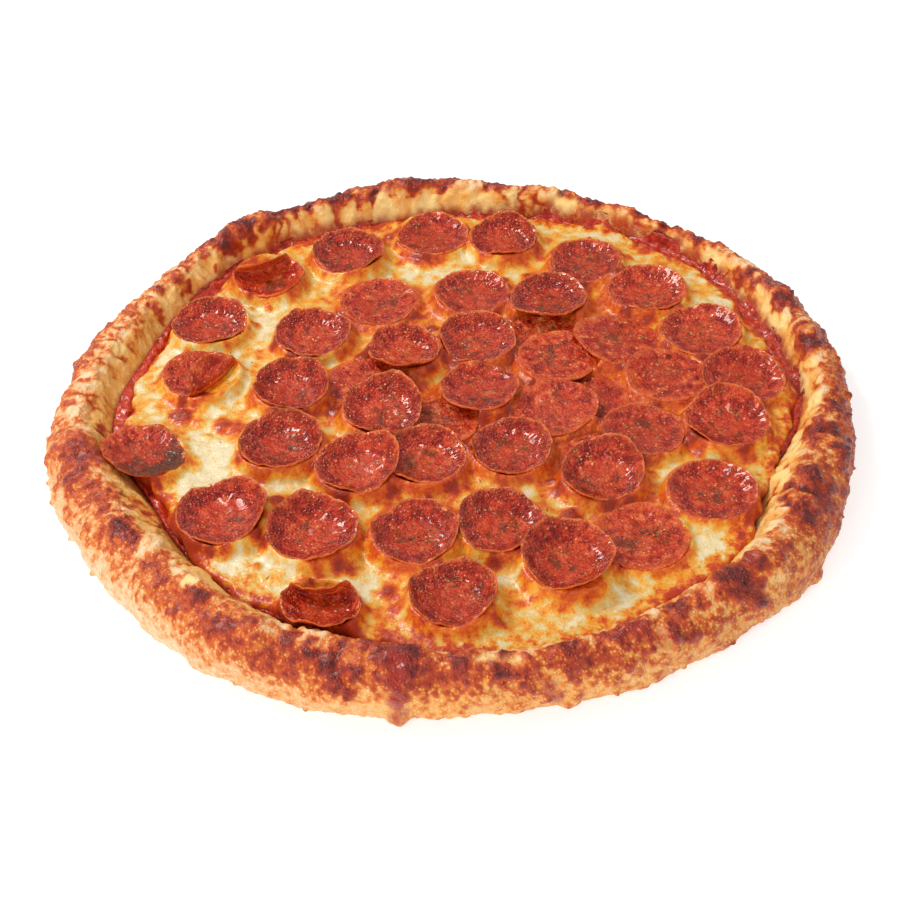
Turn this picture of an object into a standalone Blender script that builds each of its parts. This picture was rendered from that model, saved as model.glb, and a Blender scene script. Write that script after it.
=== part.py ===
"""A whole 14 inch pepperoni pizza with a puffed, hand-stretched rim, uncut.

Frame: metres, +Z up, origin at the middle of the flat underside. The near side of the pie,
the side at the bottom of the photograph, faces -Y.

Pieces: the crust (flat base and raised rim in one solid), the sauce that shows as a ring
round the cheese, the melted cheese, and forty-five cupped pepperoni slices. Each layer is
laid on what is already there, with a hair of clearance, so that no two solids overlap.
"""

import math
import random

import bmesh
import bpy
from mathutils import Vector, noise
from mathutils.bvhtree import BVHTree

MM = 0.001

# Driving sizes of the pie
PIE_RADIUS = 177.0 * MM
FLOOR_Z = 8.0 * MM
RIM_HEIGHT = 25.0 * MM
SAUCE_THICKNESS = 2.0 * MM
CHEESE_THICKNESS = 3.0 * MM
SLICE_THICKNESS = 1.8 * MM
CLEARANCE = 0.5 * MM

# Radius of the rim's inner toe, every 20 degrees anticlockwise from +X, in mm
TOE_RADII = (153, 155, 160, 162, 158, 155, 156, 153, 147, 150, 139, 140, 143, 143, 151, 147, 148, 141)
# How far the cheese stops short of the toe, every 30 degrees from +X, in mm
CHEESE_MARGINS = (5, 10, 9, 5, 5, 4, 8, 4, 4, 7, 9, 4)

# Shares of the rim's section
CREST_SHARE = 0.50
BULGE_SHARE = 0.40
SLOPE_POWER = 1.4
TUCK = 4.5 * MM
# The rim's section runs from toe (0) over crest and bulge to the base edge (1)
AT_CREST = 0.42
AT_BULGE = 0.74

# Swellings of the rim: angle, half width in degrees, extra height, extra radius in mm
RIM_SWELLS = (
    (97, 11, 3.6, 2.6),
    (127, 9, 2.0, 2.0),
    (150, 16, -2.0, -2.0),
    (52, 15, -2.0, -2.0),
    (35, 7, 1.0, 2.0),
    (7, 9, 1.5, 1.0),
    (193, 8, 1.5, 3.5),
    (221, 11, 0.0, -1.5),
    (245, 20, 1.0, 1.5),
    (272, 15, -0.5, -2.5),
    (324, 7, 0.5, 2.5),
    (308, 9, 0.0, -1.0),
)
# Blisters and baked drips on the rim: angle, place along the section, radius, height in mm
RIM_BLISTERS = (
    (190, 0.50, 15, 3.2),
    (166, 0.45, 11, 1.8),
    (128, 0.45, 14, 2.2),
    (112, 0.40, 10, 1.6),
    (97, 0.38, 13, 1.8),
    (70, 0.48, 10, 1.2),
    (36, 0.40, 11, 1.8),
    (23, 0.48, 10, 2.0),
    (13, 0.38, 11, 3.4),
    (350, 0.50, 14, 2.2),
    (336, 0.46, 14, 2.4),
    (317, 0.50, 14, 2.6),
    (298, 0.62, 9, 1.6),
    (284, 0.84, 7, 3.0),
    (272, 0.62, 9, 1.4),
    (261, 0.50, 13, 2.0),
    (262, 0.88, 6, 3.4),
    (254, 0.70, 11, 2.2),
    (241, 0.48, 11, 2.4),
    (229, 0.40, 11, 2.2),
    (214, 0.52, 12, 1.6),
    (325, 0.86, 6, 2.6),
)

# Pepperoni, in the order they are laid: name, x, y, width, height of the curled edge in mm
SLICES = (
    ("pepperoni_45", 44, 52, 34, 0.4),
    ("pepperoni_44", 62, 3, 34, 0.4),
    ("pepperoni_42", 62, -38, 34, 0.4),
    ("pepperoni_43", -4, -10, 32, 0.4),
    ("pepperoni_18", -38, 18, 38, 0.8),
    ("pepperoni_17", 49, 30, 38, 1.0),
    ("pepperoni_14", 77, 42, 40, 1.0),
    ("pepperoni_22", 97, 15, 37, 1.0),
    ("pepperoni_24", 45, -7, 39, 1.4),
    ("pepperoni_01", -7, 134, 36, 2.0),
    ("pepperoni_02", 28, 127, 33, 3.4),
    ("pepperoni_03", -48, 118, 35, 4.2),
    ("pepperoni_04", 67, 107, 35, 2.6),
    ("pepperoni_05", -86, 101, 34, 4.0),
    ("pepperoni_06", -33, 80, 37, 1.4),
    ("pepperoni_07", 11, 83, 35, 3.0),
    ("pepperoni_08", 94, 80, 37, 3.6),
    ("pepperoni_09", 47, 74, 37, 3.0),
    ("pepperoni_10", -112, 64, 36, 3.4),
    ("pepperoni_11", -63, 53, 35, 3.6),
    ("pepperoni_12", 116, 47, 38, 3.6),
    ("pepperoni_13", 13, 46, 36, 2.6),
    ("pepperoni_15", -113, 25, 35, 3.4),
    ("pepperoni_16", -21, 37, 34, 4.6),
    ("pepperoni_19", -72, 13, 35, 5.0),
    ("pepperoni_20", 13, 8, 36, 2.8),
    ("pepperoni_21", -31, -6, 35, 3.2),
    ("pepperoni_23", 131, 11, 38, 3.2),
    ("pepperoni_25", -75, -26, 37, 4.2),
    ("pepperoni_26", -134, -30, 36, 2.6),
    ("pepperoni_27", 83, -24, 37, 1.6),
    ("pepperoni_28", 120, -20, 37, 3.4),
    ("pepperoni_29", -12, -39, 36, 3.6),
    ("pepperoni_30", -41, -44, 36, 4.6),
    ("pepperoni_31", 25, -34, 35, 3.0),
    ("pepperoni_32", 63, -54, 35, 4.2),
    ("pepperoni_33", 108, -64, 38, 2.8),
    ("pepperoni_34", -97, -71, 39, 5.0),
    ("pepperoni_35", -59, -84, 38, 5.0),
    ("pepperoni_36", -17, -86, 37, 3.6),
    ("pepperoni_37", 19, -83, 37, 4.6),
    ("pepperoni_38", 76, -91, 40, 1.6),
    ("pepperoni_39", 45, -106, 38, 5.0),
    ("pepperoni_40", -2, -124, 36, 5.0),
    ("pepperoni_41", -55, -128, 32, 3.0),
)

# Unevenness of the dough all round the rim
LUMP_SIZE = 16.0 * MM
LUMP_HEIGHT = 1.8 * MM

# Mesh steps
RIM_SEGMENTS = 144
LAYER_SEGMENTS = 72
SLICE_SEGMENTS = 16
RIM_STEPS = (1.0, 0.93, 0.86, 0.80, 0.74, 0.68, 0.61, 0.55, 0.48, 0.42, 0.35, 0.28, 0.20, 0.11, 0.0)
CHEESE_SHARES = (0.975, 0.87, 0.72, 0.54, 0.35, 0.16)
SLICE_FLOOR_SHARE = 0.60
PRESS_STEPS = 9
PRESS_PASSES = 60
EASE_PASSES = 45
SAMPLE_HEIGHT = 0.10
RANDOM_SEED = 14


def clear_scene():
    for thing in list(bpy.data.objects):
        bpy.data.objects.remove(thing, do_unlink=True)


def smooth_step(value):
    value = min(1.0, max(0.0, value))
    return value * value * (3.0 - 2.0 * value)


def round_the_pie(values, angle):
    """A smooth closed curve through values that are evenly spaced round the pie."""
    count = len(values)
    place = (angle / math.tau % 1.0) * count
    index = int(place) % count
    t = place - int(place)
    before, here, after, beyond = (values[(index + step) % count] for step in (-1, 0, 1, 2))
    return 0.5 * (
        2 * here
        + (after - before) * t
        + (2 * before - 5 * here + 4 * after - beyond) * t**2
        + (3 * here - before - 3 * after + beyond) * t**3
    )


def ring_noise(angle, waves, seed):
    """Soft noise from -1 to 1 that closes on itself round the pie, with about that many waves."""
    reach = waves / math.tau
    return noise.noise(Vector((reach * math.cos(angle), reach * math.sin(angle), seed)))


def swell(angle, column):
    """The sum of the rim's swellings at an angle: column 2 is height and column 3 is radius."""
    total = 0.0
    for row in RIM_SWELLS:
        away = abs((math.degrees(angle) - row[0] + 180.0) % 360.0 - 180.0) / row[1]
        if away < 2.0:
            total += row[column] * MM * smooth_step(1.0 - away / 2.0)
    return total


def toe_radius(angle):
    return round_the_pie(TOE_RADII, angle) * MM + 1.2 * MM * ring_noise(angle, 24, 3.1)


def outer_radius(angle):
    return PIE_RADIUS + swell(angle, 3) + 1.4 * MM * ring_noise(angle, 18, 7.7)


def crest_height(angle):
    return RIM_HEIGHT + swell(angle, 2) + 2.2 * MM * ring_noise(angle, 16, 1.9)


def rim_section(angle, along):
    """(radius, height) of the plain rim, before its blisters."""
    toe, outer, crest_z = toe_radius(angle), outer_radius(angle), crest_height(angle)
    crest_r = toe + CREST_SHARE * (outer - toe)
    bulge_z = BULGE_SHARE * crest_z
    if along <= AT_CREST:
        share = along / AT_CREST
        rise = math.sin(math.pi / 2 * share) ** SLOPE_POWER
        return toe + (crest_r - toe) * share, FLOOR_Z + (crest_z - FLOOR_Z) * rise
    if along <= AT_BULGE:
        turn = math.pi / 2 * (along - AT_CREST) / (AT_BULGE - AT_CREST)
        return crest_r + (outer - crest_r) * math.sin(turn), bulge_z + (crest_z - bulge_z) * math.cos(turn)
    turn = math.pi / 2 * (along - AT_BULGE) / (1.0 - AT_BULGE)
    return outer - TUCK * (1.0 - math.cos(turn)), bulge_z * (1.0 - math.sin(turn))


def polar(angle, radius, height):
    return Vector((radius * math.cos(angle), radius * math.sin(angle), height))


def section_normal(angle, along):
    """Outward direction of the rim's surface, in the plane of its section."""
    step = 0.01
    r0, z0 = rim_section(angle, max(0.0, along - step))
    r1, z1 = rim_section(angle, min(1.0, along + step))
    return polar(angle, z0 - z1, r1 - r0).normalized() if along < 1.0 else polar(angle, 1.0, 0.0)


def blister_centres():
    found = []
    for degrees, along, radius, height in RIM_BLISTERS:
        angle = math.radians(degrees)
        found.append((polar(angle, *rim_section(angle, along)), radius * MM, height * MM))
    return found


def rim_point(angle, along, blisters):
    """A point of the finished rim: the plain section pushed in and out by lumps and blisters."""
    point = polar(angle, *rim_section(angle, along))
    push = LUMP_HEIGHT * noise.noise(point / LUMP_SIZE)
    for centre, radius, height in blisters:
        away = (point - centre).length / radius
        if away < 1.0:
            push += height * (1.0 - away * away) ** 2
    fade = smooth_step(along / 0.15) * smooth_step((1.0 - along) / 0.06)
    point += section_normal(angle, along) * push * fade
    point.z = max(0.0, point.z)
    return point


def angles(count):
    return [math.tau * step / count for step in range(count)]


def new_object(name, bm, material):
    bmesh.ops.recalc_face_normals(bm, faces=bm.faces)
    mesh = bpy.data.meshes.new(name)
    bm.to_mesh(mesh)
    bm.free()
    mesh.materials.append(material)
    mesh.shade_smooth()
    mesh.set_sharp_from_angle(angle=math.radians(50))
    thing = bpy.data.objects.new(name, mesh)
    bpy.context.scene.collection.objects.link(thing)
    return thing


def skin_rings(rings, first_middle, last_middle):
    """A closed skin over rings of equal count, with a fan to a middle point at each end."""
    bm = bmesh.new()
    loops = [[bm.verts.new(point) for point in ring] for ring in rings]
    count = len(loops[0])
    for lower, upper in zip(loops, loops[1:]):
        for here in range(count):
            after = (here + 1) % count
            bm.faces.new((lower[here], lower[after], upper[after], upper[here]))
    for loop, middle_point in ((loops[0], first_middle), (loops[-1], last_middle)):
        middle = bm.verts.new(middle_point)
        for here in range(count):
            bm.faces.new((loop[here], loop[(here + 1) % count], middle))
    return bm


def paint(name, colour, roughness):
    material = bpy.data.materials.new(name)
    material.use_nodes = True
    shader = material.node_tree.nodes["Principled BSDF"]
    shader.inputs["Base Color"].default_value = (*colour, 1.0)
    shader.inputs["Roughness"].default_value = roughness
    shader.inputs["Metallic"].default_value = 0.0
    return material


def make_crust(material):
    """The flat base and the raised rim, one piece of dough."""
    blisters = blister_centres()
    turns = angles(RIM_SEGMENTS)
    base_share = 0.6
    rings = [[polar(a, base_share * rim_section(a, 1.0)[0], 0.0) for a in turns]]
    rings += [[rim_point(a, along, blisters) for a in turns] for along in RIM_STEPS]
    rings.append([polar(a, base_share * toe_radius(a), FLOOR_Z) for a in turns])
    return new_object("crust", skin_rings(rings, (0, 0, 0), (0, 0, FLOOR_Z)), material)


def height_of(trees, x, y):
    """The height of the highest solid under a place."""
    best = 0.0
    for tree in trees:
        hit = tree.ray_cast(Vector((x, y, SAMPLE_HEIGHT)), Vector((0, 0, -1)))[0]
        if hit:
            best = max(best, hit.z)
    return best


def tree_of(thing):
    mesh = thing.data
    return BVHTree.FromPolygons([v.co for v in mesh.vertices], [p.vertices for p in mesh.polygons])


def cheese_edge(angle):
    margin = round_the_pie(CHEESE_MARGINS, angle) + 1.6 * ring_noise(angle, 30, 5.3)
    return toe_radius(angle) - margin * MM


def make_sauce(material, crust_tree):
    """A thin layer on the crust's floor that climbs a little way up the rim's inner slope."""
    turns = angles(LAYER_SEGMENTS)
    most_climb = 3.0 * MM
    lip_gap = 0.7 * MM
    floor_z = FLOOR_Z + CLEARANCE
    top_z = floor_z + SAUCE_THICKNESS
    under_toe = [polar(a, toe_radius(a) - 2.5 * MM, floor_z) for a in turns]
    under_lip, over_lip = [], []
    for a in turns:
        climb = min(most_climb, 0.2 * CREST_SHARE * (outer_radius(a) - toe_radius(a)))
        radius = toe_radius(a) + climb * (1.0 + 0.3 * ring_noise(a, 40, 9.2))
        beside = [polar(a + turn, radius + out, 0) for turn in (-0.044, 0, 0.044) for out in (0, 0.5 * MM)]
        ground = max(height_of([crust_tree], spot.x, spot.y) for spot in beside)
        under_lip.append(polar(a, radius, ground + lip_gap))
        over_lip.append(polar(a, radius - 0.3 * MM, ground + lip_gap + 0.7 * SAUCE_THICKNESS))
    over_toe = [polar(a, toe_radius(a) - 1.0 * MM, top_z + 0.9 * MM) for a in turns]
    over_edge = [polar(a, cheese_edge(a) + 1.0 * MM, top_z) for a in turns]
    rings = [under_toe, under_lip, over_lip, over_toe, over_edge]
    return new_object("sauce", skin_rings(rings, (0, 0, floor_z), (0, 0, top_z)), material)


def cheese_top(x, y):
    """Height of the melted cheese, which is uneven by half a millimetre or so."""
    top = FLOOR_Z + 2 * CLEARANCE + SAUCE_THICKNESS + CHEESE_THICKNESS
    return top + 0.7 * MM * noise.noise(Vector((x / 0.030, y / 0.030, 2.4)))


def make_cheese(material):
    turns = angles(LAYER_SEGMENTS)
    under_z = FLOOR_Z + 2 * CLEARANCE + SAUCE_THICKNESS
    lip_radius = [cheese_edge(a) for a in turns]
    under = [polar(a, r - 0.8 * MM, under_z) for a, r in zip(turns, lip_radius)]
    lip = [polar(a, r, under_z + 0.35 * CHEESE_THICKNESS) for a, r in zip(turns, lip_radius)]
    rings = [under, lip]
    for share in CHEESE_SHARES:
        ring = []
        for a, r in zip(turns, lip_radius):
            spot = polar(a, share * r, 0)
            ring.append(Vector((spot.x, spot.y, cheese_top(spot.x, spot.y))))
        rings.append(ring)
    return new_object("cheese", skin_rings(rings, (0, 0, under_z), (0, 0, cheese_top(0, 0))), material)


def plane_under(trees, x, y, radius):
    """The tilted plane that a slice settles on: (height at its middle, slope along x, slope along y)."""
    reach = 0.75 * radius
    ring = [(reach * math.cos(a), reach * math.sin(a)) for a in angles(12)]
    heights = [height_of(trees, x + dx, y + dy) for dx, dy in ring]
    middle = sum(heights) / len(heights)
    slope_x = 2 * sum(h * dx for h, (dx, dy) in zip(heights, ring)) / len(ring) / reach**2
    slope_y = 2 * sum(h * dy for h, (dx, dy) in zip(heights, ring)) / len(ring) / reach**2
    return middle, slope_x, slope_y


def settle(bm, trees):
    """Push a thin sheet of triangles up, corner by corner, until it clears all that lies under it."""
    fine = PRESS_STEPS
    pairs = [(i, j) for i in range(fine + 1) for j in range(fine + 1 - i)]
    spots = [(i / fine, j / fine, (fine - i - j) / fine) for i, j in pairs]
    pressed = []
    for face in bm.faces:
        for weights in spots:
            x = sum(weight * vert.co.x for weight, vert in zip(weights, face.verts))
            y = sum(weight * vert.co.y for weight, vert in zip(weights, face.verts))
            pressed.append((face.verts[:], weights, height_of(trees, x, y) + CLEARANCE))
    start = {vert: vert.co.z for vert in bm.verts}
    for turn in range(PRESS_PASSES):
        for verts, weights, ground in pressed:
            sunk = ground - sum(weight * vert.co.z for weight, vert in zip(weights, verts))
            if sunk > 0:
                lift = sunk / sum(weight * weight for weight in weights)
                for weight, vert in zip(weights, verts):
                    vert.co.z += weight * lift
        if turn < EASE_PASSES:
            raised = {vert: vert.co.z - start[vert] for vert in bm.verts}
            for vert in bm.verts:
                beside = [raised[edge.other_vert(vert)] for edge in vert.link_edges]
                vert.co.z += 0.3 * (sum(beside) / len(beside) - raised[vert])


def make_slice(name, x, y, width, curl, material, trees, rng):
    """A round slice, flat in the middle and curled up at its edge, draped on what lies under it."""
    radius = width / 2
    middle, slope_x, slope_y = plane_under(trees, x, y, radius)
    two_lobes, three_lobes = rng.uniform(0, math.tau), rng.uniform(0, math.tau)
    inner = SLICE_FLOOR_SHARE * radius
    bm = bmesh.new()
    bmesh.ops.create_circle(bm, cap_ends=True, cap_tris=True, segments=SLICE_SEGMENTS, radius=inner)
    edges = [edge for edge in bm.edges if edge.is_boundary]
    grown = bmesh.ops.extrude_edge_only(bm, edges=edges)["geom"]
    outer = [piece for piece in grown if isinstance(piece, bmesh.types.BMVert)]
    bmesh.ops.scale(bm, vec=(radius / inner, radius / inner, 1), verts=outer)
    bmesh.ops.triangulate(bm, faces=bm.faces)
    for vert in bm.verts:
        dx, dy = vert.co.x, vert.co.y
        turn = math.atan2(dy, dx)
        share = math.hypot(dx, dy) / radius
        wave = 1.0 + 0.28 * math.cos(2 * turn + two_lobes) + 0.14 * math.cos(3 * turn + three_lobes)
        rise = curl * wave * max(0.0, share - 0.3) ** 1.5 / 0.7**1.5
        vert.co = Vector((x + dx, y + dy, middle + slope_x * dx + slope_y * dy + rise))
    settle(bm, trees)
    lifted = bmesh.ops.extrude_face_region(bm, geom=bm.faces[:])["geom"]
    top = [piece for piece in lifted if isinstance(piece, bmesh.types.BMVert)]
    bmesh.ops.translate(bm, vec=(0, 0, SLICE_THICKNESS), verts=top)
    return new_object(name, bm, material)


def main():
    clear_scene()
    rng = random.Random(RANDOM_SEED)
    crust = make_crust(paint("baked_crust", (0.56, 0.27, 0.10), 0.62))
    crust_tree = tree_of(crust)
    sauce = make_sauce(paint("tomato_sauce", (0.40, 0.04, 0.02), 0.35), crust_tree)
    cheese = make_cheese(paint("melted_cheese", (0.83, 0.66, 0.36), 0.38))
    cured = paint("pepperoni", (0.42, 0.06, 0.04), 0.36)
    layers = [crust_tree, tree_of(sauce), tree_of(cheese)]
    laid = []
    for name, x, y, width, curl in SLICES:
        near = [tree for at_x, at_y, reach, tree in laid if math.hypot(x - at_x, y - at_y) < reach + width]
        piece = make_slice(name, x * MM, y * MM, width * MM, curl * MM, cured, layers + near, rng)
        laid.append((x, y, width, tree_of(piece)))


main()
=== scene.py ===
# %% [markdown]
# # A whole pepperoni pizza
# A large, hand-stretched pie, fresh from the oven: a puffed and blistered rim, a wet ring of tomato
# sauce, melted cheese with orange oil and browned spots, and curled slices of pepperoni. The solid model
# gives every piece its place and size, and this lesson dresses it. First the model is opened, and its
# box is kept, so that nothing made here grows past it.

# %% Open the solid model
import math
import random

import bpy
import numpy as np
from mathutils import Matrix, Vector, noise
from mathutils.bvhtree import BVHTree


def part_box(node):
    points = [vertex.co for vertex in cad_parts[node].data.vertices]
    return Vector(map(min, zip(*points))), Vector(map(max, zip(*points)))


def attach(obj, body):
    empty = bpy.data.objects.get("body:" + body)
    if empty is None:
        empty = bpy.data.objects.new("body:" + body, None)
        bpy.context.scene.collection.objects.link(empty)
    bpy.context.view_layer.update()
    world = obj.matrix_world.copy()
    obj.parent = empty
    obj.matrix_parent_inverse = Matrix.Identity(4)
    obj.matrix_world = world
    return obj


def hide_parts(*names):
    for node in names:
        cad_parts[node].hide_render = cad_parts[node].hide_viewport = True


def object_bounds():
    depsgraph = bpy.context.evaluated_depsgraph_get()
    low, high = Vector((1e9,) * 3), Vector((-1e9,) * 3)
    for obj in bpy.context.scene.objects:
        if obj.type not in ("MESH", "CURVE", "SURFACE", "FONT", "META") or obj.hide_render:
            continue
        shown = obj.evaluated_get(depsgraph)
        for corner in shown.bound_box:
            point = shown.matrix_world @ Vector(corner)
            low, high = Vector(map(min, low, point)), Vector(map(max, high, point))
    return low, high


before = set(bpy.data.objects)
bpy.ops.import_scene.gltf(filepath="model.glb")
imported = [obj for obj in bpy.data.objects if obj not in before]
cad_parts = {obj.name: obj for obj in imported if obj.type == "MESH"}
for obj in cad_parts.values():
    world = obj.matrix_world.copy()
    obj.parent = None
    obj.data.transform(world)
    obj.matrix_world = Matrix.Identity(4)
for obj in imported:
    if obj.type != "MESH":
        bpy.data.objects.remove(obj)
cad_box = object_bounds()
MM = 0.001
TAU = math.tau
print("solid model, in mm:", [round(size / MM, 1) for size in cad_box[1] - cad_box[0]])

# %% [markdown]
# The camera looks down at the pie from the near side, as a person standing at the table would, with a
# long lens that keeps the round pie from bulging. A slight roll of the camera is part of the picture.

# %% Place the camera
CAMERA_HEIGHT_ANGLE = math.radians(40.0)
CAMERA_ROLL = math.radians(-1.72)
CAMERA_DISTANCE = 890 * MM
CAMERA_LENS = 81.5
CAMERA_TARGET = Vector((-1.5, -25.0, 12.0)) * MM

away = Vector((0, -math.cos(CAMERA_HEIGHT_ANGLE), math.sin(CAMERA_HEIGHT_ANGLE)))
side = Vector((1, 0, 0))
top = away.cross(side)
rolled_side = side * math.cos(CAMERA_ROLL) + top * math.sin(CAMERA_ROLL)
rolled_top = top * math.cos(CAMERA_ROLL) - side * math.sin(CAMERA_ROLL)
bpy.ops.object.camera_add(location=CAMERA_TARGET + away * CAMERA_DISTANCE)
camera = bpy.context.object
camera.rotation_euler = Matrix((rolled_side, rolled_top, away)).transposed().to_euler()
camera.data.lens = CAMERA_LENS
camera.data.sensor_width = 36.0
bpy.context.scene.camera = camera
print("camera at", [round(value, 3) for value in camera.location])

# %% [markdown]
# Baked food has no straight lines, so most shapes here start as a clean form made with the modelling
# tools and are then worked over point by point, like clay. These helpers read and write a mesh's points
# as one table of numbers, and give soft noise, round bubbles and smooth steps to shape them with.

# %% Helpers for working a mesh like clay
def start_fresh():
    """Nothing selected, so that the next operator touches only what it adds."""
    bpy.ops.object.select_all(action="DESELECT")


def points_of(piece):
    table = np.empty(len(piece.data.vertices) * 3)
    piece.data.vertices.foreach_get("co", table)
    return table.reshape(-1, 3)


def set_points(piece, table):
    piece.data.vertices.foreach_set("co", table.astype(np.float32).ravel())
    piece.data.update()


def set_mark(piece, name, values):
    """One number per point, which the materials read back by name."""
    mark = piece.data.attributes.new(name, "FLOAT", "POINT")
    mark.data.foreach_set("value", np.asarray(values, np.float32))


def cloud(table, size, seed=0.0):
    """Soft noise from -1 to 1 at each point, with lumps of about that size."""
    shift = Vector((seed, -1.7 * seed, 2.3 * seed))
    return np.array([noise.noise(Vector(point) / size + shift) for point in table])


def sway(table, size, *seeds):
    """Soft noise along x, y and, with a third seed, z."""
    moved = np.zeros((len(table), 3))
    for column, seed in enumerate(seeds):
        moved[:, column] = cloud(table, size, seed)
    return moved


def bubbles(table, size, seed=0.0):
    """Round domes from 0 to 1, packed side by side, about that far apart."""
    shift = Vector((seed, 2.1 * seed, -1.3 * seed))
    nearest = [noise.voronoi(Vector(point) / size + shift)[0][0] for point in table]
    return np.clip(1.0 - (np.array(nearest) / 0.62) ** 2, 0.0, 1.0)


def smooth_step(values, low=0.0, high=1.0):
    share = np.clip((np.asarray(values, float) - low) / (high - low), 0.0, 1.0)
    return share * share * (3.0 - 2.0 * share)


def keep_in_box(table):
    """Nothing may stand out of the solid model's box."""
    hair = 0.05 * MM
    return np.clip(table, np.array(cad_box[0]) + [hair, hair, 0.0], np.array(cad_box[1]) - hair)


def dress(piece, slot, *nodes):
    """A finished piece moves with the pie and stands for its solids."""
    start_fresh()
    piece.select_set(True)
    bpy.context.view_layer.objects.active = piece
    bpy.ops.object.mode_set(mode="EDIT")
    bpy.ops.mesh.select_all(action="SELECT")
    bpy.ops.mesh.normals_make_consistent(inside=False)
    bpy.ops.object.mode_set(mode="OBJECT")
    bpy.ops.object.shade_smooth()
    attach(piece, "root")
    if nodes:
        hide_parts(*nodes)
    print(piece.name, "has", sum(len(face.vertices) - 2 for face in piece.data.polygons), "triangles")


# %% [markdown]
# The rim is one long roll of dough, and its section changes as it goes round: the radius of its inner
# toe, the outer radius and the height of the crest are smooth curves of the angle, the same as in the
# solid model. A place on the rim is then given by two numbers, the angle and how far along the section
# it lies, from 0 at the toe, over the crest at 0.42 and the bulge at 0.74, to 1 at the base edge.

# %% The rim's own measures
PIE_RADIUS = 177.0 * MM
FLOOR_Z = 8.0 * MM
RIM_HEIGHT = 25.0 * MM
SAUCE_THICKNESS = 2.0 * MM
CHEESE_THICKNESS = 3.0 * MM
CLEARANCE = 0.5 * MM
TOE_RADII = (153, 155, 160, 162, 158, 155, 156, 153, 147, 150, 139, 140, 143, 143, 151, 147, 148, 141)
CHEESE_MARGINS = (5, 10, 9, 5, 5, 4, 8, 4, 4, 7, 9, 4)
CREST_SHARE, BULGE_SHARE, SLOPE_POWER, TUCK = 0.50, 0.40, 1.4, 4.5 * MM
AT_CREST, AT_BULGE = 0.42, 0.74
LUMP_SIZE, LUMP_HEIGHT = 16.0 * MM, 1.8 * MM
# Swellings: angle, half width in degrees, extra height, extra radius in mm
RIM_SWELLS = (
    (97, 11, 3.6, 2.6), (127, 9, 2.0, 2.0), (150, 16, -2.0, -2.0), (52, 15, -2.0, -2.0), (35, 7, 1.0, 2.0),
    (7, 9, 1.5, 1.0), (193, 8, 1.5, 3.5), (221, 11, 0.0, -1.5), (245, 20, 1.0, 1.5), (272, 15, -0.5, -2.5),
    (324, 7, 0.5, 2.5), (308, 9, 0.0, -1.0),
)
# Blisters and drips: angle, place along the section, radius, height in mm
RIM_BLISTERS = (
    (190, 0.50, 15, 3.2), (166, 0.45, 11, 1.8), (128, 0.45, 14, 2.2), (112, 0.40, 10, 1.6),
    (97, 0.38, 13, 1.8), (70, 0.48, 10, 1.2), (36, 0.40, 11, 1.8), (23, 0.48, 10, 2.0), (13, 0.38, 11, 3.4),
    (350, 0.50, 14, 2.2), (336, 0.46, 14, 2.4), (317, 0.50, 14, 2.6), (298, 0.62, 9, 1.6),
    (284, 0.84, 7, 3.0), (272, 0.62, 9, 1.4), (261, 0.50, 13, 2.0), (262, 0.88, 6, 3.4),
    (254, 0.70, 11, 2.2), (241, 0.48, 11, 2.4), (229, 0.40, 11, 2.2), (214, 0.52, 12, 1.6),
    (325, 0.86, 6, 2.6),
)


def round_the_pie(values, angle):
    """A smooth closed curve through values that are evenly spaced round the pie."""
    count = len(values)
    place = (angle / TAU % 1.0) * count
    index, t = int(place) % count, place - int(place)
    before, here, after, beyond = (values[(index + step) % count] for step in (-1, 0, 1, 2))
    return 0.5 * (
        2 * here
        + (after - before) * t
        + (2 * before - 5 * here + 4 * after - beyond) * t**2
        + (3 * here - before - 3 * after + beyond) * t**3
    )


def ring_noise(angle, waves, seed):
    reach = waves / TAU
    return noise.noise(Vector((reach * math.cos(angle), reach * math.sin(angle), seed)))


def swell(angle, column):
    total = 0.0
    for row in RIM_SWELLS:
        off = abs((math.degrees(angle) - row[0] + 180.0) % 360.0 - 180.0) / row[1]
        if off < 2.0:
            total += row[column] * MM * float(smooth_step(1.0 - off / 2.0))
    return total


def toe_radius(angle):
    return round_the_pie(TOE_RADII, angle) * MM + 1.2 * MM * ring_noise(angle, 24, 3.1)


def outer_radius(angle):
    return PIE_RADIUS + swell(angle, 3) + 1.4 * MM * ring_noise(angle, 18, 7.7)


def crest_height(angle):
    return RIM_HEIGHT + swell(angle, 2) + 2.2 * MM * ring_noise(angle, 16, 1.9)


def cheese_edge(angle):
    margin = round_the_pie(CHEESE_MARGINS, angle) + 1.6 * ring_noise(angle, 30, 5.3)
    return toe_radius(angle) - margin * MM


NEAR_SIDE = 1.5 * math.pi
print("rim at the near side: toe", round(toe_radius(NEAR_SIDE) / MM), "mm, outside",
      round(outer_radius(NEAR_SIDE) / MM), "mm, crest", round(crest_height(NEAR_SIDE) / MM), "mm high")

# %% [markdown]
# The section itself is three arcs: the inner slope, the upper outside and the lower outside, which tucks
# under to the flat base. Working on whole tables of angles at once keeps this quick.

# %% The section of the rim, for whole tables of points
def rim_section(toe, outer, crest, along):
    """(radius, height) of the plain rim."""
    crest_r = toe + CREST_SHARE * (outer - toe)
    bulge_z = BULGE_SHARE * crest
    share = np.clip(along / AT_CREST, 0.0, 1.0)
    over = np.clip((along - AT_CREST) / (AT_BULGE - AT_CREST), 0.0, 1.0) * math.pi / 2
    under = np.clip((along - AT_BULGE) / (1.0 - AT_BULGE), 0.0, 1.0) * math.pi / 2
    radius = np.where(along <= AT_CREST, toe + (crest_r - toe) * share,
                      crest_r + (outer - crest_r) * np.sin(over) - TUCK * (1.0 - np.cos(under)))
    height = np.where(along <= AT_CREST,
                      FLOOR_Z + (crest - FLOOR_Z) * np.sin(share * math.pi / 2) ** SLOPE_POWER,
                      np.where(along <= AT_BULGE, bulge_z + (crest - bulge_z) * np.cos(over),
                               bulge_z * (1.0 - np.sin(under))))
    return radius, height


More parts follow.
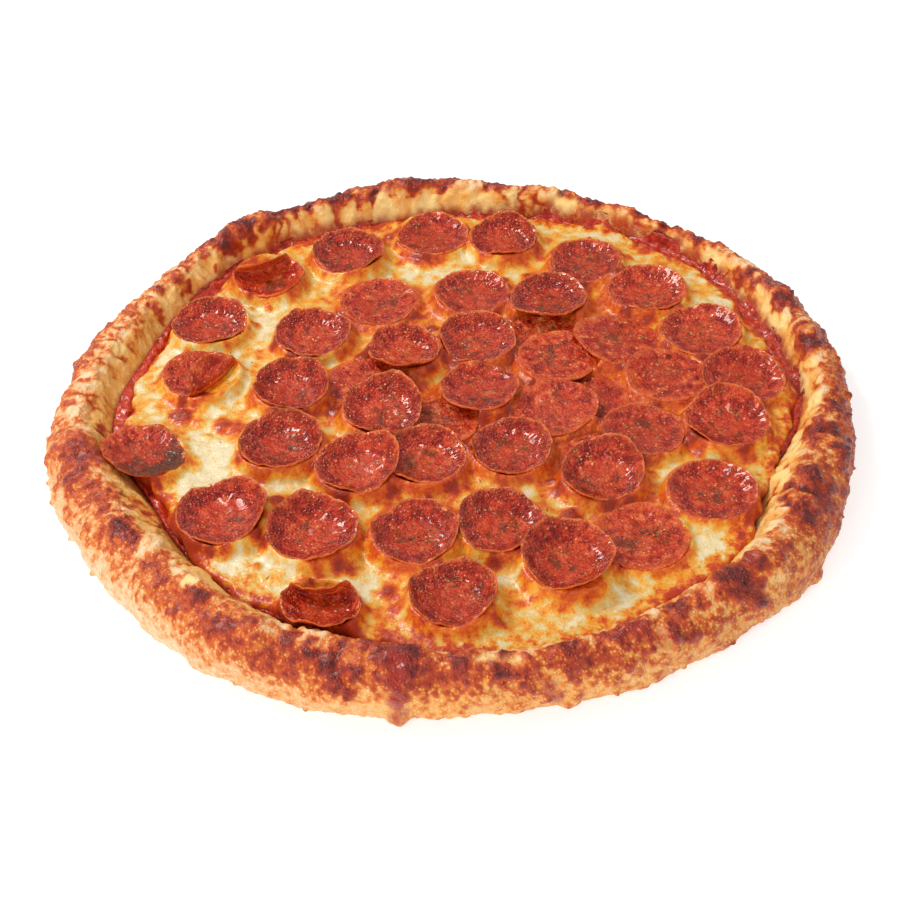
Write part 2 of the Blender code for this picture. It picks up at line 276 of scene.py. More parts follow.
def slope_height(radius, toe, outer, crest):
    """Height of the plain inner slope at a radius: the first arc, read the other way round."""
    share = np.clip((radius - toe) / (CREST_SHARE * (outer - toe)), 0.0, 1.0)
    return FLOOR_Z + (crest - FLOOR_Z) * np.sin(share * math.pi / 2) ** SLOPE_POWER


def polar_table(angle, radius, height):
    return np.stack([radius * np.cos(angle), radius * np.sin(angle), height + 0.0 * radius], axis=1)


def rim_table(angle, rows, along):
    """Points of the plain rim, and the way out from its surface at each."""
    toe, outer, crest = rows
    radius, height = rim_section(toe, outer, crest, along)
    r0, z0 = rim_section(toe, outer, crest, np.clip(along - 0.01, 0.0, 1.0))
    r1, z1 = rim_section(toe, outer, crest, np.clip(along + 0.01, 0.0, 1.0))
    run, rise = r1 - r0, z1 - z0
    length = np.hypot(run, rise)
    normal = polar_table(angle, -rise / length, run / length)
    return polar_table(angle, radius, height), normal


def sauce_reach(angle, toe, outer):
    """How far up the slope the sauce goes, measured outwards from the toe: least on the left."""
    most = np.interp(np.degrees(angle), (0, 20, 60, 100, 130, 160, 215, 240, 285, 300, 335, 350, 360),
                     (1.8, 2.4, 2.4, 1.8, 1.6, 0.6, 0.3, 1.0, 1.6, -0.3, -0.3, 1.2, 1.8))
    return np.minimum(most * MM, 0.30 * CREST_SHARE * (outer - toe))


def ragged(table):
    """The uneven front of the sauce, from about -1 to 1, the same for every layer that it stains."""
    level = table * [1.0, 1.0, 0.0]
    return cloud(level, 7 * MM, 21.0) + 0.6 * cloud(level, 2.6 * MM, 22.0)


def spots_on(table, centres, grow=1.0, soft=1.0):
    """How strongly each (centre, radius, strength) reaches each point. A small soft is a crisp edge."""
    total = np.zeros(len(table))
    for centre, radius, strength in centres:
        near = np.abs(table - centre).max(axis=1) < radius * grow
        off = np.linalg.norm(table[near] - centre, axis=1) / (radius * grow)
        total[near] = np.maximum(total[near], strength * smooth_step(1.0 - off, 0.0, soft))
    return total


def on_rim(rows):
    """Turns (angle, along, radius in mm, strength) into (point, radius, strength)."""
    found = []
    for degrees, along, radius, strength in rows:
        angle = math.radians(degrees)
        r, z = rim_section(toe_radius(angle), outer_radius(angle), crest_height(angle), along)
        found.append((np.array([r * math.cos(angle), r * math.sin(angle), z]), radius * MM, strength))
    return found


# %% [markdown]
# The crust's dough starts as a flat drum with as many sides as the rim needs points. Its wall is cut
# into rings by subdividing the upright edges, and its two round faces are inset and poked, which gives
# clean rings all the way to the middle. The wall's height then says how far along the section a ring
# lies, so the whole wall can be rolled up into the rim.

# %% Model the drum of dough
RIM_SIDES = 1180
RIM_RINGS = 72
DRUM_RADIUS = 160 * MM
DRUM_HEIGHT = 25 * MM

start_fresh()
bpy.ops.mesh.primitive_cylinder_add(vertices=RIM_SIDES, radius=DRUM_RADIUS, depth=DRUM_HEIGHT,
                                    end_fill_type="NGON", location=(0, 0, DRUM_HEIGHT / 2))
crust = bpy.context.object
crust.name = "crust_dough"
bpy.ops.object.transform_apply(location=True)
bpy.ops.object.mode_set(mode="EDIT")
bpy.ops.mesh.select_mode(type="EDGE")
bpy.ops.mesh.select_all(action="DESELECT")
bpy.ops.object.mode_set(mode="OBJECT")
heights = points_of(crust)[:, 2]
for edge in crust.data.edges:
    first, last = edge.vertices
    edge.select = bool(abs(heights[first] - heights[last]) > DRUM_HEIGHT / 2)
bpy.ops.object.mode_set(mode="EDIT")
bpy.ops.mesh.subdivide(number_cuts=RIM_RINGS)
bpy.ops.mesh.select_mode(type="FACE")
for facing in (1, -1):
    bpy.ops.mesh.select_all(action="DESELECT")
    bpy.ops.object.mode_set(mode="OBJECT")
    for face in crust.data.polygons:
        face.select = len(face.vertices) == RIM_SIDES and face.normal.z * facing > 0.5
    bpy.ops.object.mode_set(mode="EDIT")
    bpy.ops.mesh.inset(thickness=10 * MM)
    bpy.ops.mesh.inset(thickness=60 * MM)
    bpy.ops.mesh.poke()
bpy.ops.object.mode_set(mode="OBJECT")
print("drum:", len(crust.data.vertices), "points")

# %% [markdown]
# No oven browns a rim evenly. These are the places where it scorched, where it stayed pale, and where small
# nodules stand on the wall. Most were read by eye in the photo as pixels, and a small script turned them
# into an angle and a place along the section with the fitted camera. Some were then moved.

# %% Where the oven browned the rim: angle, place along the section, radius in mm, strength
DARK_SPOTS = (
    (6, 0.21, 3.2, 0.8), (9, 0.29, 8.3, 1.0), (10, 0.54, 3.2, 0.75), (16, 0.35, 4.7, 0.65),
    (20, 0.48, 2.4, 0.9), (22, 0.38, 6.7, 0.75), (32, 0.3, 6.8, 0.75), (44, 0.42, 4.4, 0.7),
    (53, 0.23, 5.0, 0.7), (64, 0.32, 4.0, 0.75), (73, 0.28, 5.6, 0.6), (80, 0.25, 3.6, 0.75),
    (81, 0.34, 6.1, 0.65), (90, 0.22, 3.1, 0.7), (91, 0.29, 3.0, 0.75), (95, 0.32, 6.1, 0.8),
    (99, 0.28, 2.5, 0.75), (104, 0.28, 5.1, 0.8), (108, 0.4, 4.6, 0.6), (117, 0.38, 5.5, 0.65),
    (122, 0.34, 2.0, 0.9), (123, 0.28, 6.5, 0.75), (126, 0.28, 6.4, 0.9), (130, 0.28, 8.4, 0.9),
    (135, 0.17, 3.4, 0.7), (142, 0.22, 3.4, 0.65), (143, 0.42, 5.3, 0.6), (148, 0.46, 4.3, 0.75),
    (151, 0.26, 4.3, 0.7), (155, 0.5, 4.3, 0.6), (159, 0.24, 4.2, 0.65), (183, 0.2, 4.9, 0.6),
    (183, 0.56, 2.2, 0.6), (194, 0.44, 9.8, 1.0), (196, 0.5, 8.3, 0.9), (205, 0.46, 5.2, 0.65),
    (211, 0.18, 2.5, 0.7), (212, 0.48, 6.4, 0.85), (223, 0.06, 4.2, 0.8), (225, 0.48, 3.2, 0.75),
    (229, 0.6, 2.8, 0.6), (231, 0.46, 3.6, 0.7), (234, 0.08, 8.0, 0.85), (237, 0.52, 6.5, 0.75),
    (246, 0.46, 4.1, 0.85), (248, 0.63, 3.1, 0.6), (252, 0.56, 3.8, 0.85), (254, 0.62, 3.8, 1.0),
    (250, 0.50, 3.4, 0.7), (253, 0.34, 6.4, 0.8), (256, 0.32, 6.4, 0.9), (260, 0.42, 7.2, 1.0),
    (256, 0.67, 3.1, 0.85), (263, 0.43, 6.0, 0.95), (265, 0.49, 3.8, 0.65), (270, 0.49, 5.0, 0.65),
    (275, 0.54, 3.8, 0.7), (278, 0.64, 2.3, 0.7), (279, 0.58, 3.8, 0.5), (284, 0.61, 1.9, 0.75),
    (295, 0.48, 6.2, 0.65), (295, 0.61, 3.5, 0.9), (299, 0.56, 3.4, 0.7), (302, 0.46, 4.2, 0.7),
    (306, 0.6, 4.0, 0.5), (312, 0.42, 10.2, 1.0), (313, 0.65, 3.6, 0.8), (315, 0.44, 6.2, 0.95),
    (328, 0.5, 3.3, 0.8), (332, 0.41, 10.2, 0.95), (336, 0.44, 7.4, 0.85), (345, 0.56, 5.6, 0.85),
    (348, 0.4, 9.4, 0.85), (349, 0.48, 4.1, 0.85), (354, 0.48, 4.5, 0.8), (358, 0.48, 3.1, 0.6),
)
PALE_SPOTS = (
    (1, 0.11, 4.5, 0.8), (4, 0.1, 5.5, 0.9), (10, 0.06, 3.2, 0.7), (18, 0.15, 4.2, 0.9),
    (21, 0.18, 4.2, 0.9), (31, 0.05, 4.2, 0.9), (34, 0.05, 5.2, 0.9), (38, 0.12, 5.6, 0.9),
    (47, 0.12, 4.4, 0.7), (55, 0.1, 4.8, 0.8), (63, 0.16, 4.8, 0.8), (71, 0.19, 7.6, 0.9),
    (84, 0.16, 6.6, 0.9), (93, 0.18, 3.4, 0.7), (100, 0.16, 4.4, 0.8), (107, 0.19, 3.8, 0.6),
    (112, 0.12, 4.2, 0.7), (131, 0.14, 4.8, 0.7), (137, 0.08, 4.2, 0.7), (164, 0.3, 3.9, 0.6),
    (228, 0.42, 2.6, 0.9), (274, 0.44, 3.3, 0.4), (277, 0.47, 3.3, 0.3), (299, 0.06, 3.8, 0.9),
    (326, 0.05, 3.8, 0.8), (330, 0.05, 4.2, 0.8), (338, 0.07, 4.6, 0.9), (346, 0.03, 3.8, 0.7),
    (357, 0.26, 4.2, 0.8),
)
NODULES = (
    (184, 0.68, 2.2), (192, 0.74, 2.3), (197, 0.72, 2.4), (202, 0.86, 2.0), (210, 0.86, 2.0),
    (224, 0.67, 2.0), (262, 0.62, 3.8), (262, 0.70, 4.0), (279, 0.68, 3.0), (281, 0.75, 3.6),
    (318, 0.74, 3.2), (330, 0.62, 1.8), (335, 0.72, 1.8), (346, 0.74, 1.8), (351, 0.61, 1.8),
    (354, 0.60, 1.8), (359, 0.62, 2.2), (22, 0.5, 2.6), (240, 0.86, 2.0), (250, 0.88, 1.8),
    (290, 0.84, 2.2), (300, 0.86, 2.0), (308, 0.84, 1.8),
)
print(len(DARK_SPOTS), "dark spots,", len(PALE_SPOTS), "pale ones and", len(NODULES), "nodules")

# %% [markdown]
# Rolling up the rim: each point of the wall goes to its place on the section. Then come the big lumps and
# named blisters of the solid model, radial stretch folds on the inner slope, where the dough was pulled
# in towards the sauce, and packed bubbles of three sizes, which the oven raises most on the upper side.

# %% Roll the drum up into the rim
flat = points_of(crust)
angle = np.arctan2(flat[:, 1], flat[:, 0]) % TAU
step = np.round(angle / TAU * RIM_SIDES).astype(int) % RIM_SIDES
turns = np.arange(RIM_SIDES) * TAU / RIM_SIDES
rim_rows = np.array([[toe_radius(a), outer_radius(a), crest_height(a)] for a in turns])
rows = rim_rows[step].T
along = 1.0 - flat[:, 2] / DRUM_HEIGHT
wall = np.hypot(flat[:, 0], flat[:, 1]) > DRUM_RADIUS - 1 * MM

plain, outward = rim_table(angle, rows, along)
warp = sway(plain, 6 * MM, 4.0, 5.0, 6.0)
crooked = angle + 0.030 * cloud(plain, 12 * MM, 26.0) + 0.012 * cloud(plain, 5 * MM, 27.0)
spread = [polar_table(crooked, 1.0 / size, 1.9 * along + 0.30 * warp[:, 0]) for size in (0.052, 0.024)]
folds = np.clip(1.9 * np.abs(cloud(spread[0], 1.0, 2.0)) + 0.8 * np.abs(cloud(spread[1], 1.0, 6.0)), 0.0, 1.3)
fold_zone = smooth_step(along, 0.02, 0.12) * (1.0 - smooth_step(along, 0.40, 0.62))
fold_zone *= 0.35 + 0.9 * smooth_step(cloud(plain, 26 * MM, 9.0), -0.3, 0.3)
crag_zone = smooth_step(along, 0.14, 0.40) * (1.0 - 0.5 * smooth_step(along, 0.62, 0.8))
big_bubbles = bubbles(plain, 7.5 * MM, 1.0) * smooth_step(cloud(plain, 14 * MM, 3.0), -0.3, 0.5)
small_bubbles = bubbles(plain, 3.2 * MM, 5.0)
tiny_bubbles = bubbles(plain, 1.9 * MM, 7.0)
dark_places = on_rim(DARK_SPOTS)
wandered = plain + warp * 2.4 * MM + sway(plain, 2.2 * MM, 14.0, 15.0, 16.0) * 1.1 * MM
dark = spots_on(wandered, dark_places, 1.25, 0.65)
scorched_round = spots_on(wandered, dark_places, 2.6, 0.9)
nodules = spots_on(plain, on_rim([(*row, 1.0) for row in NODULES]))

stain_line = (sauce_reach(angle, rows[0], rows[1]) + 0.6 * MM) * (1.0 + 0.55 * ragged(plain))
climbed = np.hypot(plain[:, 0], plain[:, 1]) - rows[0] - stain_line
push = LUMP_HEIGHT * cloud(plain, LUMP_SIZE)
for degrees, place, radius, height in RIM_BLISTERS:
    centre = on_rim([(degrees, place, radius, 1.0)])[0][0]
    off = np.linalg.norm(plain - centre, axis=1) / (radius * MM)
    push += height * MM * np.clip(1.0 - off * off, 0.0, 1.0) ** 2
push *= smooth_step(along, 0.0, 0.15) * (1.0 - smooth_step(along, 0.94, 1.0))
fine = 1.35 * MM * (folds - 0.6) * fold_zone + 1.6 * MM * (big_bubbles - 0.2) * crag_zone
fine += 0.9 * MM * (small_bubbles - 0.35) * (0.30 + 0.70 * crag_zone) + 0.30 * MM * (tiny_bubbles - 0.4)
fine += 1.2 * MM * dark + 1.7 * MM * nodules + 0.4 * MM * cloud(plain, 2.6 * MM, 8.0) * (0.4 + crag_zone)
fine *= smooth_step(climbed, -1.0 * MM, 4.0 * MM) * (1.0 - smooth_step(along, 0.97, 1.0))
rolled = plain + outward * (push + fine)[:, None]

reach = np.hypot(flat[:, 0], flat[:, 1]) / DRUM_RADIUS
base_r = rim_section(*rows, np.ones(len(along)))[0]
cap_r = np.where(flat[:, 2] > DRUM_HEIGHT / 2, rows[0], base_r) * reach
cap = polar_table(angle, cap_r, np.where(flat[:, 2] > DRUM_HEIGHT / 2, FLOOR_Z, 0.0))
crust_points = np.where(wall[:, None], rolled, cap)
crust_points[:, 2] = np.maximum(crust_points[:, 2], 0.0)
set_points(crust, keep_in_box(crust_points))
print("rim rolled up,", round(float(crust_points[:, 2].max()) / MM, 1), "mm high at most")

# %% [markdown]
# The browning is kept as numbers on the points. Heat reaches the crest first, then the upper outside,
# while the tucked-under wall stays pale gold and the inner slope, wet from the sauce and the cheese, stays
# yellow with creamy patches. Smears of sauce redden the toe of the slope.

# %% Record how brown, how pale and how red each point of the crust is
bake = np.interp(along, (0.0, 0.08, 0.20, 0.30, 0.42, 0.55, 0.64, 0.75, 0.86, 1.0),
                 (0.28, 0.22, 0.24, 0.30, 0.37, 0.39, 0.30, 0.18, 0.12, 0.16))
degrees_round = np.degrees(angle)
crest_tone = np.interp(degrees_round,
                       (0, 30, 60, 90, 120, 150, 180, 205, 225, 245, 262, 280, 300, 320, 345, 360),
                       (.10, .10, .21, .25, .21, .0, -.04, .04, .10, .17, .20, .18, .12, .10, .10, .10))
wall_tone = np.interp(degrees_round, (0, 90, 180, 210, 245, 265, 290, 330, 360),
                      (.18, .12, .0, -.18, -.16, -.08, .0, .17, .18))
bake += crest_tone * smooth_step(along, 0.2, 0.42) + wall_tone * smooth_step(along, 0.5, 0.75)
patches = cloud(wandered, 15 * MM, 11.0)
near_left = np.interp(degrees_round, (175, 200, 245, 265), (0.0, 1.0, 1.0, 0.0))
wall_calm = 1.0 - 0.7 * smooth_step(along + 0.12 * near_left, 0.55, 0.70)
bake += ((0.30 * patches + 0.24 * cloud(wandered, 6.5 * MM, 12.0)) * wall_calm
         + 0.14 * cloud(plain, 2.8 * MM, 13.0))
bake += (0.22 * (big_bubbles - 0.25) + 0.26 * (small_bubbles - 0.4)) * crag_zone
# Painted highlight and shade: near the crest the tops of the tiny bubbles are made paler and the gaps between
# them browner.
bake += 0.10 * (0.4 - tiny_bubbles) * smooth_step(along, 0.3, 0.5) - 0.46 * (folds - 0.5) * fold_zone
bake += 0.26 * dark + 0.15 * scorched_round + 0.30 * nodules
pale = spots_on(wandered, on_rim(PALE_SPOTS), 1.5, 0.6)
slope_zone = smooth_step(along, 0.005, 0.05) * (1.0 - smooth_step(along, 0.24, 0.38))
by_side = np.interp(degrees_round, (0, 110, 140, 200, 230, 290, 320, 360),
                    (1.0, 1.0, 0.4, 0.10, 0.12, 0.5, 1.0, 1.0))
bake += slope_zone * np.interp(degrees_round, (0, 120, 155, 205, 235, 265, 360),
                               (0.0, 0.0, 0.03, 0.03, 0.03, 0.0, 0.0))
ridges = cloud(wandered, 9 * MM, 15.0) + 0.45 * (folds - 0.5)
pale = np.clip(pale + 0.9 * by_side * slope_zone * smooth_step(ridges, 0.02, 0.34), 0, 1)
pale *= 1.0 - smooth_step(dark, 0.1, 0.5)
bake -= 0.35 * pale

red = 1.0 - smooth_step(climbed, 0.4 * MM, 2.8 * MM)
SAUCE_DRIPS = (
    (261, 0.40, 7, 0.7), (262, 0.50, 6, 0.9), (262, 0.58, 5, 1.0), (262, 0.66, 5, 1.0), (262, 0.74, 5, 1.0),
    (262, 0.82, 4.0, 1.0), (279, 0.6, 4, 0.7), (281, 0.68, 4.5, 0.9), (282, 0.76, 4.5, 1.0),
    (294, 0.46, 7, 0.8), (297, 0.56, 6, 0.7), (234, 0.12, 9, 0.6), (196, 0.25, 6, 0.5), (241, 0.4, 5, 0.4),
)
drips = spots_on(wandered, on_rim(SAUCE_DRIPS), 1.1, 0.6)
near_wall = np.interp(degrees_round, (242, 262, 325, 350), (0.0, 1.0, 1.0, 0.0))
near_wall *= smooth_step(along, 0.46, 0.62)
crag = smooth_step(along, 0.10, 0.30) * (1.0 - smooth_step(along, 0.50, 0.68))
for name, on_wall, on_caps in (
    ("bake", bake, 0.2),
    ("pale", pale, 0.0),
    ("red", np.maximum(red, 0.8 * drips), 0.0),
    ("wet", np.maximum(smooth_step(climbed, 1.0 * MM, -1.0 * MM), drips), 0.0),
    ("grain", smooth_step(along, 0.26, 0.44), 0.4),
    ("crag", crag, 0.0),
    ("slope", np.maximum(slope_zone, 0.55 * near_wall), 0.0),
):
    set_mark(crust, name, np.where(wall, on_wall, on_caps))
dress(crust, "baked_crust", "crust")

# %% [markdown]
# The sauce shows as a ragged ring between the cheese and the rim. It starts as a flat round disc, inset
# from its edge into fine rings, because only the outer part shows and needs the points.

# %% Model the ring of sauce
SAUCE_SIDES = 900
SAUCE_RINGS = 26

start_fresh()
bpy.ops.mesh.primitive_cylinder_add(vertices=SAUCE_SIDES, radius=100 * MM, depth=SAUCE_THICKNESS,
                                    end_fill_type="NGON", location=(0, 0, FLOOR_Z + SAUCE_THICKNESS / 2))
sauce = bpy.context.object
sauce.name = "sauce_ring"
bpy.ops.object.transform_apply(location=True)
bpy.ops.object.mode_set(mode="EDIT")
bpy.ops.mesh.select_mode(type="FACE")
bpy.ops.mesh.select_all(action="DESELECT")
bpy.ops.object.mode_set(mode="OBJECT")
for facing, steps in ((1, [1.0] * SAUCE_RINGS), (-1, [3.0, 5.0, 6.0, SAUCE_RINGS - 14.0])):
    for face in sauce.data.polygons:
        face.select = len(face.vertices) == SAUCE_SIDES and face.normal.z * facing > 0.5
    bpy.ops.object.mode_set(mode="EDIT")
    for step_in in steps:
        bpy.ops.mesh.inset(thickness=step_in * MM)
    bpy.ops.mesh.inset(thickness=40 * MM)
    bpy.ops.mesh.poke()
    bpy.ops.mesh.select_all(action="DESELECT")
    bpy.ops.object.mode_set(mode="OBJECT")
print("sauce:", len(sauce.data.vertices), "points")

# %% [markdown]
# The fine rings run from under the cheese's edge to a little way up the slope. There the sauce thins out
# and sinks into the dough along a ragged front, as irregular as a brushed-on layer.

# %% Lay the sauce against the slope
flat = points_of(sauce)
s_angle = np.arctan2(flat[:, 1], flat[:, 0]) % TAU
s_step = np.round(s_angle / TAU * SAUCE_SIDES).astype(int) % SAUCE_SIDES
s_rows = np.array([[toe_radius(a), outer_radius(a), crest_height(a), cheese_edge(a)]
                   for a in np.arange(SAUCE_SIDES) * TAU / SAUCE_SIDES])[s_step].T
drum_r = np.hypot(flat[:, 0], flat[:, 1])
inward = np.clip((100 * MM - drum_r) / (SAUCE_RINGS * MM), 0.0, 1.0)
furthest = 1.7 * (sauce_reach(s_angle, s_rows[0], s_rows[1]) + 0.6 * MM)
start_r = s_rows[3] - 7 * MM
s_radius = s_rows[0] + furthest - inward * (s_rows[0] + furthest - start_r)
middle_zone = drum_r < 100 * MM - (SAUCE_RINGS + 0.5) * MM
s_radius = np.where(middle_zone, start_r * drum_r / (100 * MM - SAUCE_RINGS * MM), s_radius)
slope_z = slope_height(s_radius, *s_rows[:3])
flat_spot = polar_table(s_angle, s_radius, 0.0)
front = s_radius - s_rows[0] - furthest / 1.7 * (1.0 + 0.55 * ragged(flat_spot))
body = 1.0 - smooth_step(front, -1.4 * MM, 0.8 * MM)
lumps = bubbles(flat_spot, 4.6 * MM, 23.0)
wet = (1.3 * MM * (lumps - 0.2) + 0.9 * MM * cloud(flat_spot, 3.2 * MM, 24.0)
       + 0.4 * MM * cloud(flat_spot, 1.6 * MM, 25.0))
below_cheese = smooth_step(s_radius - s_rows[3] - 3.0 * MM, -2.0 * MM, 2.5 * MM)
s_top = np.maximum(FLOOR_Z + 1.5 * MM + (2.6 * MM + wet) * below_cheese,
                   slope_z + (2.8 * MM + wet) * body - 1.3 * MM)
s_top = np.where(middle_zone, FLOOR_Z + 2.0 * MM, s_top)
under = flat[:, 2] < FLOOR_Z + 0.1 * MM
s_height = np.where(under, np.minimum(s_top - 1.6 * MM, slope_z - 0.6 * MM), s_top)
set_points(sauce, keep_in_box(polar_table(s_angle, s_radius, s_height)))
set_mark(sauce, "thick", body)
dress(sauce, "tomato_sauce", "sauce")

# %% [markdown]
# Before the cheese can melt round the slices, the slices' places and their lie must be known. Each solid
# slice is sampled from above, and one smooth surface is fitted through the samples: a gentle saddle for
# the tilt and the sag, and a round wall for the cup that its edge has curled into.

# %% Measure how each slice lies
SLICE_NODES = sorted(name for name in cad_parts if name.startswith("pepperoni_"))
# Extra curl of the crisp edge, in mm. The slices named here stayed flat or drooped; the others curled
USUAL_CURL = 2.9
FLAT_CURL = {
    "01": 1.0, "06": 0.4, "14": -0.3, "17": -0.4, "18": -0.3, "22": 0.0, "23": 0.9, "24": -0.2, "27": 0.7,
    "38": 0.2, "42": -0.5, "43": -0.5, "44": -0.5, "45": -0.5, "04": 1.2, "26": 0.3, "15": 0.6, "05": 0.9,
    "12": 1.2, "33": 1.4, "28": 1.5, "07": 0.9, "20": 0.8, "08": 1.2,
}
RAY_START = 0.1
STRAIGHT_DOWN = Vector((0, 0, -1))
slice_place = {}
for name in SLICE_NODES:
    low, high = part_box(name)
    slice_place[name] = ((low.x + high.x) / 2, (low.y + high.y) / 2, (high.x - low.x) / 2)


def cup_wall(share):
    return smooth_step(share, 0.56, 1.04)


def basis(x, y):
    """The shapes that a slice's surface is a sum of, at places given in shares of its radius."""
    return np.array([1.0 + 0.0 * x, x, y, x * x, x * y, y * y, x**3, x * x * y, x * y * y, y**3,
                     cup_wall(np.hypot(x, y))])


def surface_of(node):
    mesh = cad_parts[node].data
    tree = BVHTree.FromPolygons([v.co for v in mesh.vertices], [p.vertices[:] for p in mesh.polygons])
    x0, y0, radius = slice_place[node]
    rows, heights = [], []
    for share, count in ((0.0, 1), (0.3, 8), (0.55, 12), (0.78, 16), (0.97, 20)):
        for index in range(count):
            turn = TAU * index / count
            x, y = share * math.cos(turn), share * math.sin(turn)
            start = Vector((x0 + x * radius, y0 + y * radius, RAY_START))
            hit = tree.ray_cast(start, STRAIGHT_DOWN)[0]
            if hit:
                rows.append(basis(x, y))
                heights.append(hit.z)
    return np.linalg.lstsq(np.array(rows), np.array(heights), rcond=None)[0]


def extra_curl(node):
    return FLAT_CURL.get(node[-2:], USUAL_CURL) * MM


def curl_towards(node, x, y):
    """The extra curl in that direction: most on the far side, where the slice stood clear of the cheese."""
    return extra_curl(node) * (0.68 + (0.36 * y + 0.14 * x) / np.maximum(np.hypot(x, y), 0.1))


def lie_of(node, x, y):
    """Height of a slice's upper side, without its fine waves: the far side curled up most."""
    edge = smooth_step(np.hypot(x, y), 0.62, 1.03) ** 1.3
    return basis(x, y).T @ slice_surface[node] + curl_towards(node, x, y) * edge


def thickness_at(share):
    return (1.7 - 0.9 * share**4) * MM


slice_surface = {node: surface_of(node) for node in SLICE_NODES}
highest = max(surface[0] for surface in slice_surface.values())
print(len(slice_surface), "slices measured, the highest lies", round(highest / MM, 1), "mm up")

# %% [markdown]
# The cheese is a round sheet. A grid pulled into a disc keeps its squares nearly the same size all over,
# where rings would crowd together in the middle. Its edge follows the ragged line where the grated
# cheese ended, then drops away to the sauce, and it is closed underneath.

# %% Model the sheet of cheese
CHEESE_CELLS = 300

start_fresh()
bpy.ops.mesh.primitive_grid_add(x_subdivisions=CHEESE_CELLS, y_subdivisions=CHEESE_CELLS, size=2.0)
cheese = bpy.context.object
cheese.name = "melted_cheese"
bpy.ops.object.mode_set(mode="EDIT")
bpy.ops.mesh.select_all(action="SELECT")
bpy.ops.mesh.region_to_loop()
bpy.ops.mesh.extrude_region_move(TRANSFORM_OT_translate={"value": (0, 0, -1.0)})
bpy.ops.mesh.edge_face_add()
bpy.ops.object.mode_set(mode="OBJECT")
print("cheese:", len(cheese.data.vertices), "points")

# %% [markdown]
# Cheese browns where a bubble stood up, stays cream where it pooled, and is soaked most in the crowded
# middle. Most browned places were read by eye in the photo as pixels and turned into millimetres by a small
# script with the fitted camera. The rest, the pools and the soaked places were listed.

# %% Where the cheese browned and where it stayed pale: x, y, radius in mm, strength
TOASTED_SPOTS = (
    (-121, 0, 4.6, 0.9), (-102, -7, 5.4, 0.8), (-94, -11, 6.2, 0.7), (-112, -4, 3.6, 0.6),
    (-75, -59, 4.2, 0.95), (-79, -88, 2.8, 0.8), (-82, -99, 1.9, 0.6), (-74, -106, 5.0, 0.45),
    (-64, -109, 3.4, 0.6), (-47, -104, 3.7, 0.7), (-29, -116, 4.2, 0.6), (-13, 113, 4.6, 0.8),
    (39, 99, 3.7, 0.8), (-31, 129, 2.8, 0.6), (-8, 60, 2.8, 0.8), (-19, 60, 2.8, 0.7), (48, 52, 3.7, 0.8),
    (48, -74, 4.1, 0.85), (18, -60, 2.8, 0.7), (-9, 44, 2.6, 0.6), (-95, 88, 2.6, 0.6),
    (-111, 14, 2.2, 0.5), (-108, -14, 2.6, 0.5), (-60, -112, 1.8, 0.5), (-98, 118, 2.2, 0.5),
)
CREAM_POOLS = (
    (-112, 46, 26, 1.0), (-88, 70, 18, 0.9), (-62, 74, 13, 0.7), (-100, -20, 24, 1.1), (-106, -48, 20, 1.1),
    (-92, -92, 12, 0.9), (-72, -100, 13, 1.0), (-40, -112, 14, 1.0), (-74, -52, 10, 0.7),
    (-46, 104, 12, 0.8), (-12, 106, 12, 0.9), (40, 84, 9, 0.7), (66, 84, 9, 0.8), (80, 100, 8, 0.8),
    (110, 66, 8, 0.7), (12, 118, 8, 0.7), (92, -48, 10, 0.9), (92, -76, 11, 0.9), (106, -92, 12, 0.9),
    (58, -108, 9, 0.7), (20, -112, 9, 0.8), (28, -60, 8, 0.8), (108, -44, 8, 0.8), (60, -30, 6, 0.6),
    (-20, -62, 7, 0.7), (-56, 36, 7, 0.6), (0, -104, 8, 0.8), (-70, -8, 8, 0.5), (120, 10, 7, 0.7),
    (-26, 98, 8, 0.6), (96, 56, 7, 0.6), (-94, 24, 9, 0.6), (-8, 20, 5, 0.5),
)
# Where oil and sauce came up through the cheese most: x, y, radius in mm, strength
SOAKED = (
    (36, 10, 100, 1.0), (-30, -60, 60, 0.7), (-20, 60, 70, 0.8), (60, 70, 70, 0.8), (70, -60, 60, 0.7),
    (-60, 0, 50, 0.5),
)
BEAD_COUNT = 190


def on_cheese(rows, wider=1.0, stronger=1.0):
    """Turns (x, y, radius in mm, strength) into (point, radius, strength)."""
    return [(np.array([x, y, 0.0]) * MM, wider * r * MM, stronger * k) for x, y, r, k in rows]


print(len(TOASTED_SPOTS), "browned places,", len(CREAM_POOLS), "pools of cream")

# %% [markdown]
# Melted cheese pools and dimples. It climbs a little up the outside of each slice, as water does in a
# glass, laps over the edges of the flat ones, and lies close under the rest. On the near side of the pie
# it laps onto the rim. Small beads of cheese and sauce bubbled up and browned beside the slices.

# %% Let the cheese melt round the slices
grid = points_of(cheese)
on_top = grid[:, 2] > -0.5
square = np.clip(grid[:, :2], -1.0, 1.0)
disc = square * np.sqrt(np.clip(1.0 - square[:, ::-1] ** 2 / 2.0, 0.0, 1.0))
c_share = np.clip(np.hypot(disc[:, 0], disc[:, 1]), 0.0, 1.0)
c_angle = np.arctan2(disc[:, 1], disc[:, 0]) % TAU
edge_count = 1440
edge_turns = np.arange(edge_count) * TAU / edge_count
past_toe = np.interp(np.degrees(edge_turns), (0, 15, 35, 60, 90, 115, 140, 190, 205, 225, 262, 300, 335, 360),
                     (0.2, -1.5, -1.8, -0.6, 0.6, -1.5, -4.5, -3.6, -0.8, 2.2, 3.8, 4.6, 3.0, 0.2))
wander = np.array([3.2 * ring_noise(a, 90, 31.0) + 4.6 * ring_noise(a, 44, 32.0) for a in edge_turns])
edge_r = np.array([toe_radius(a) for a in edge_turns]) + np.minimum(past_toe + wander, 6.0) * MM
edge_here = np.interp(c_angle, np.arange(edge_count + 1) * TAU / edge_count, np.append(edge_r, edge_r[0]))
spot = polar_table(c_angle, c_share * edge_here, 0.0)
from_edge = (1.0 - c_share) * edge_here

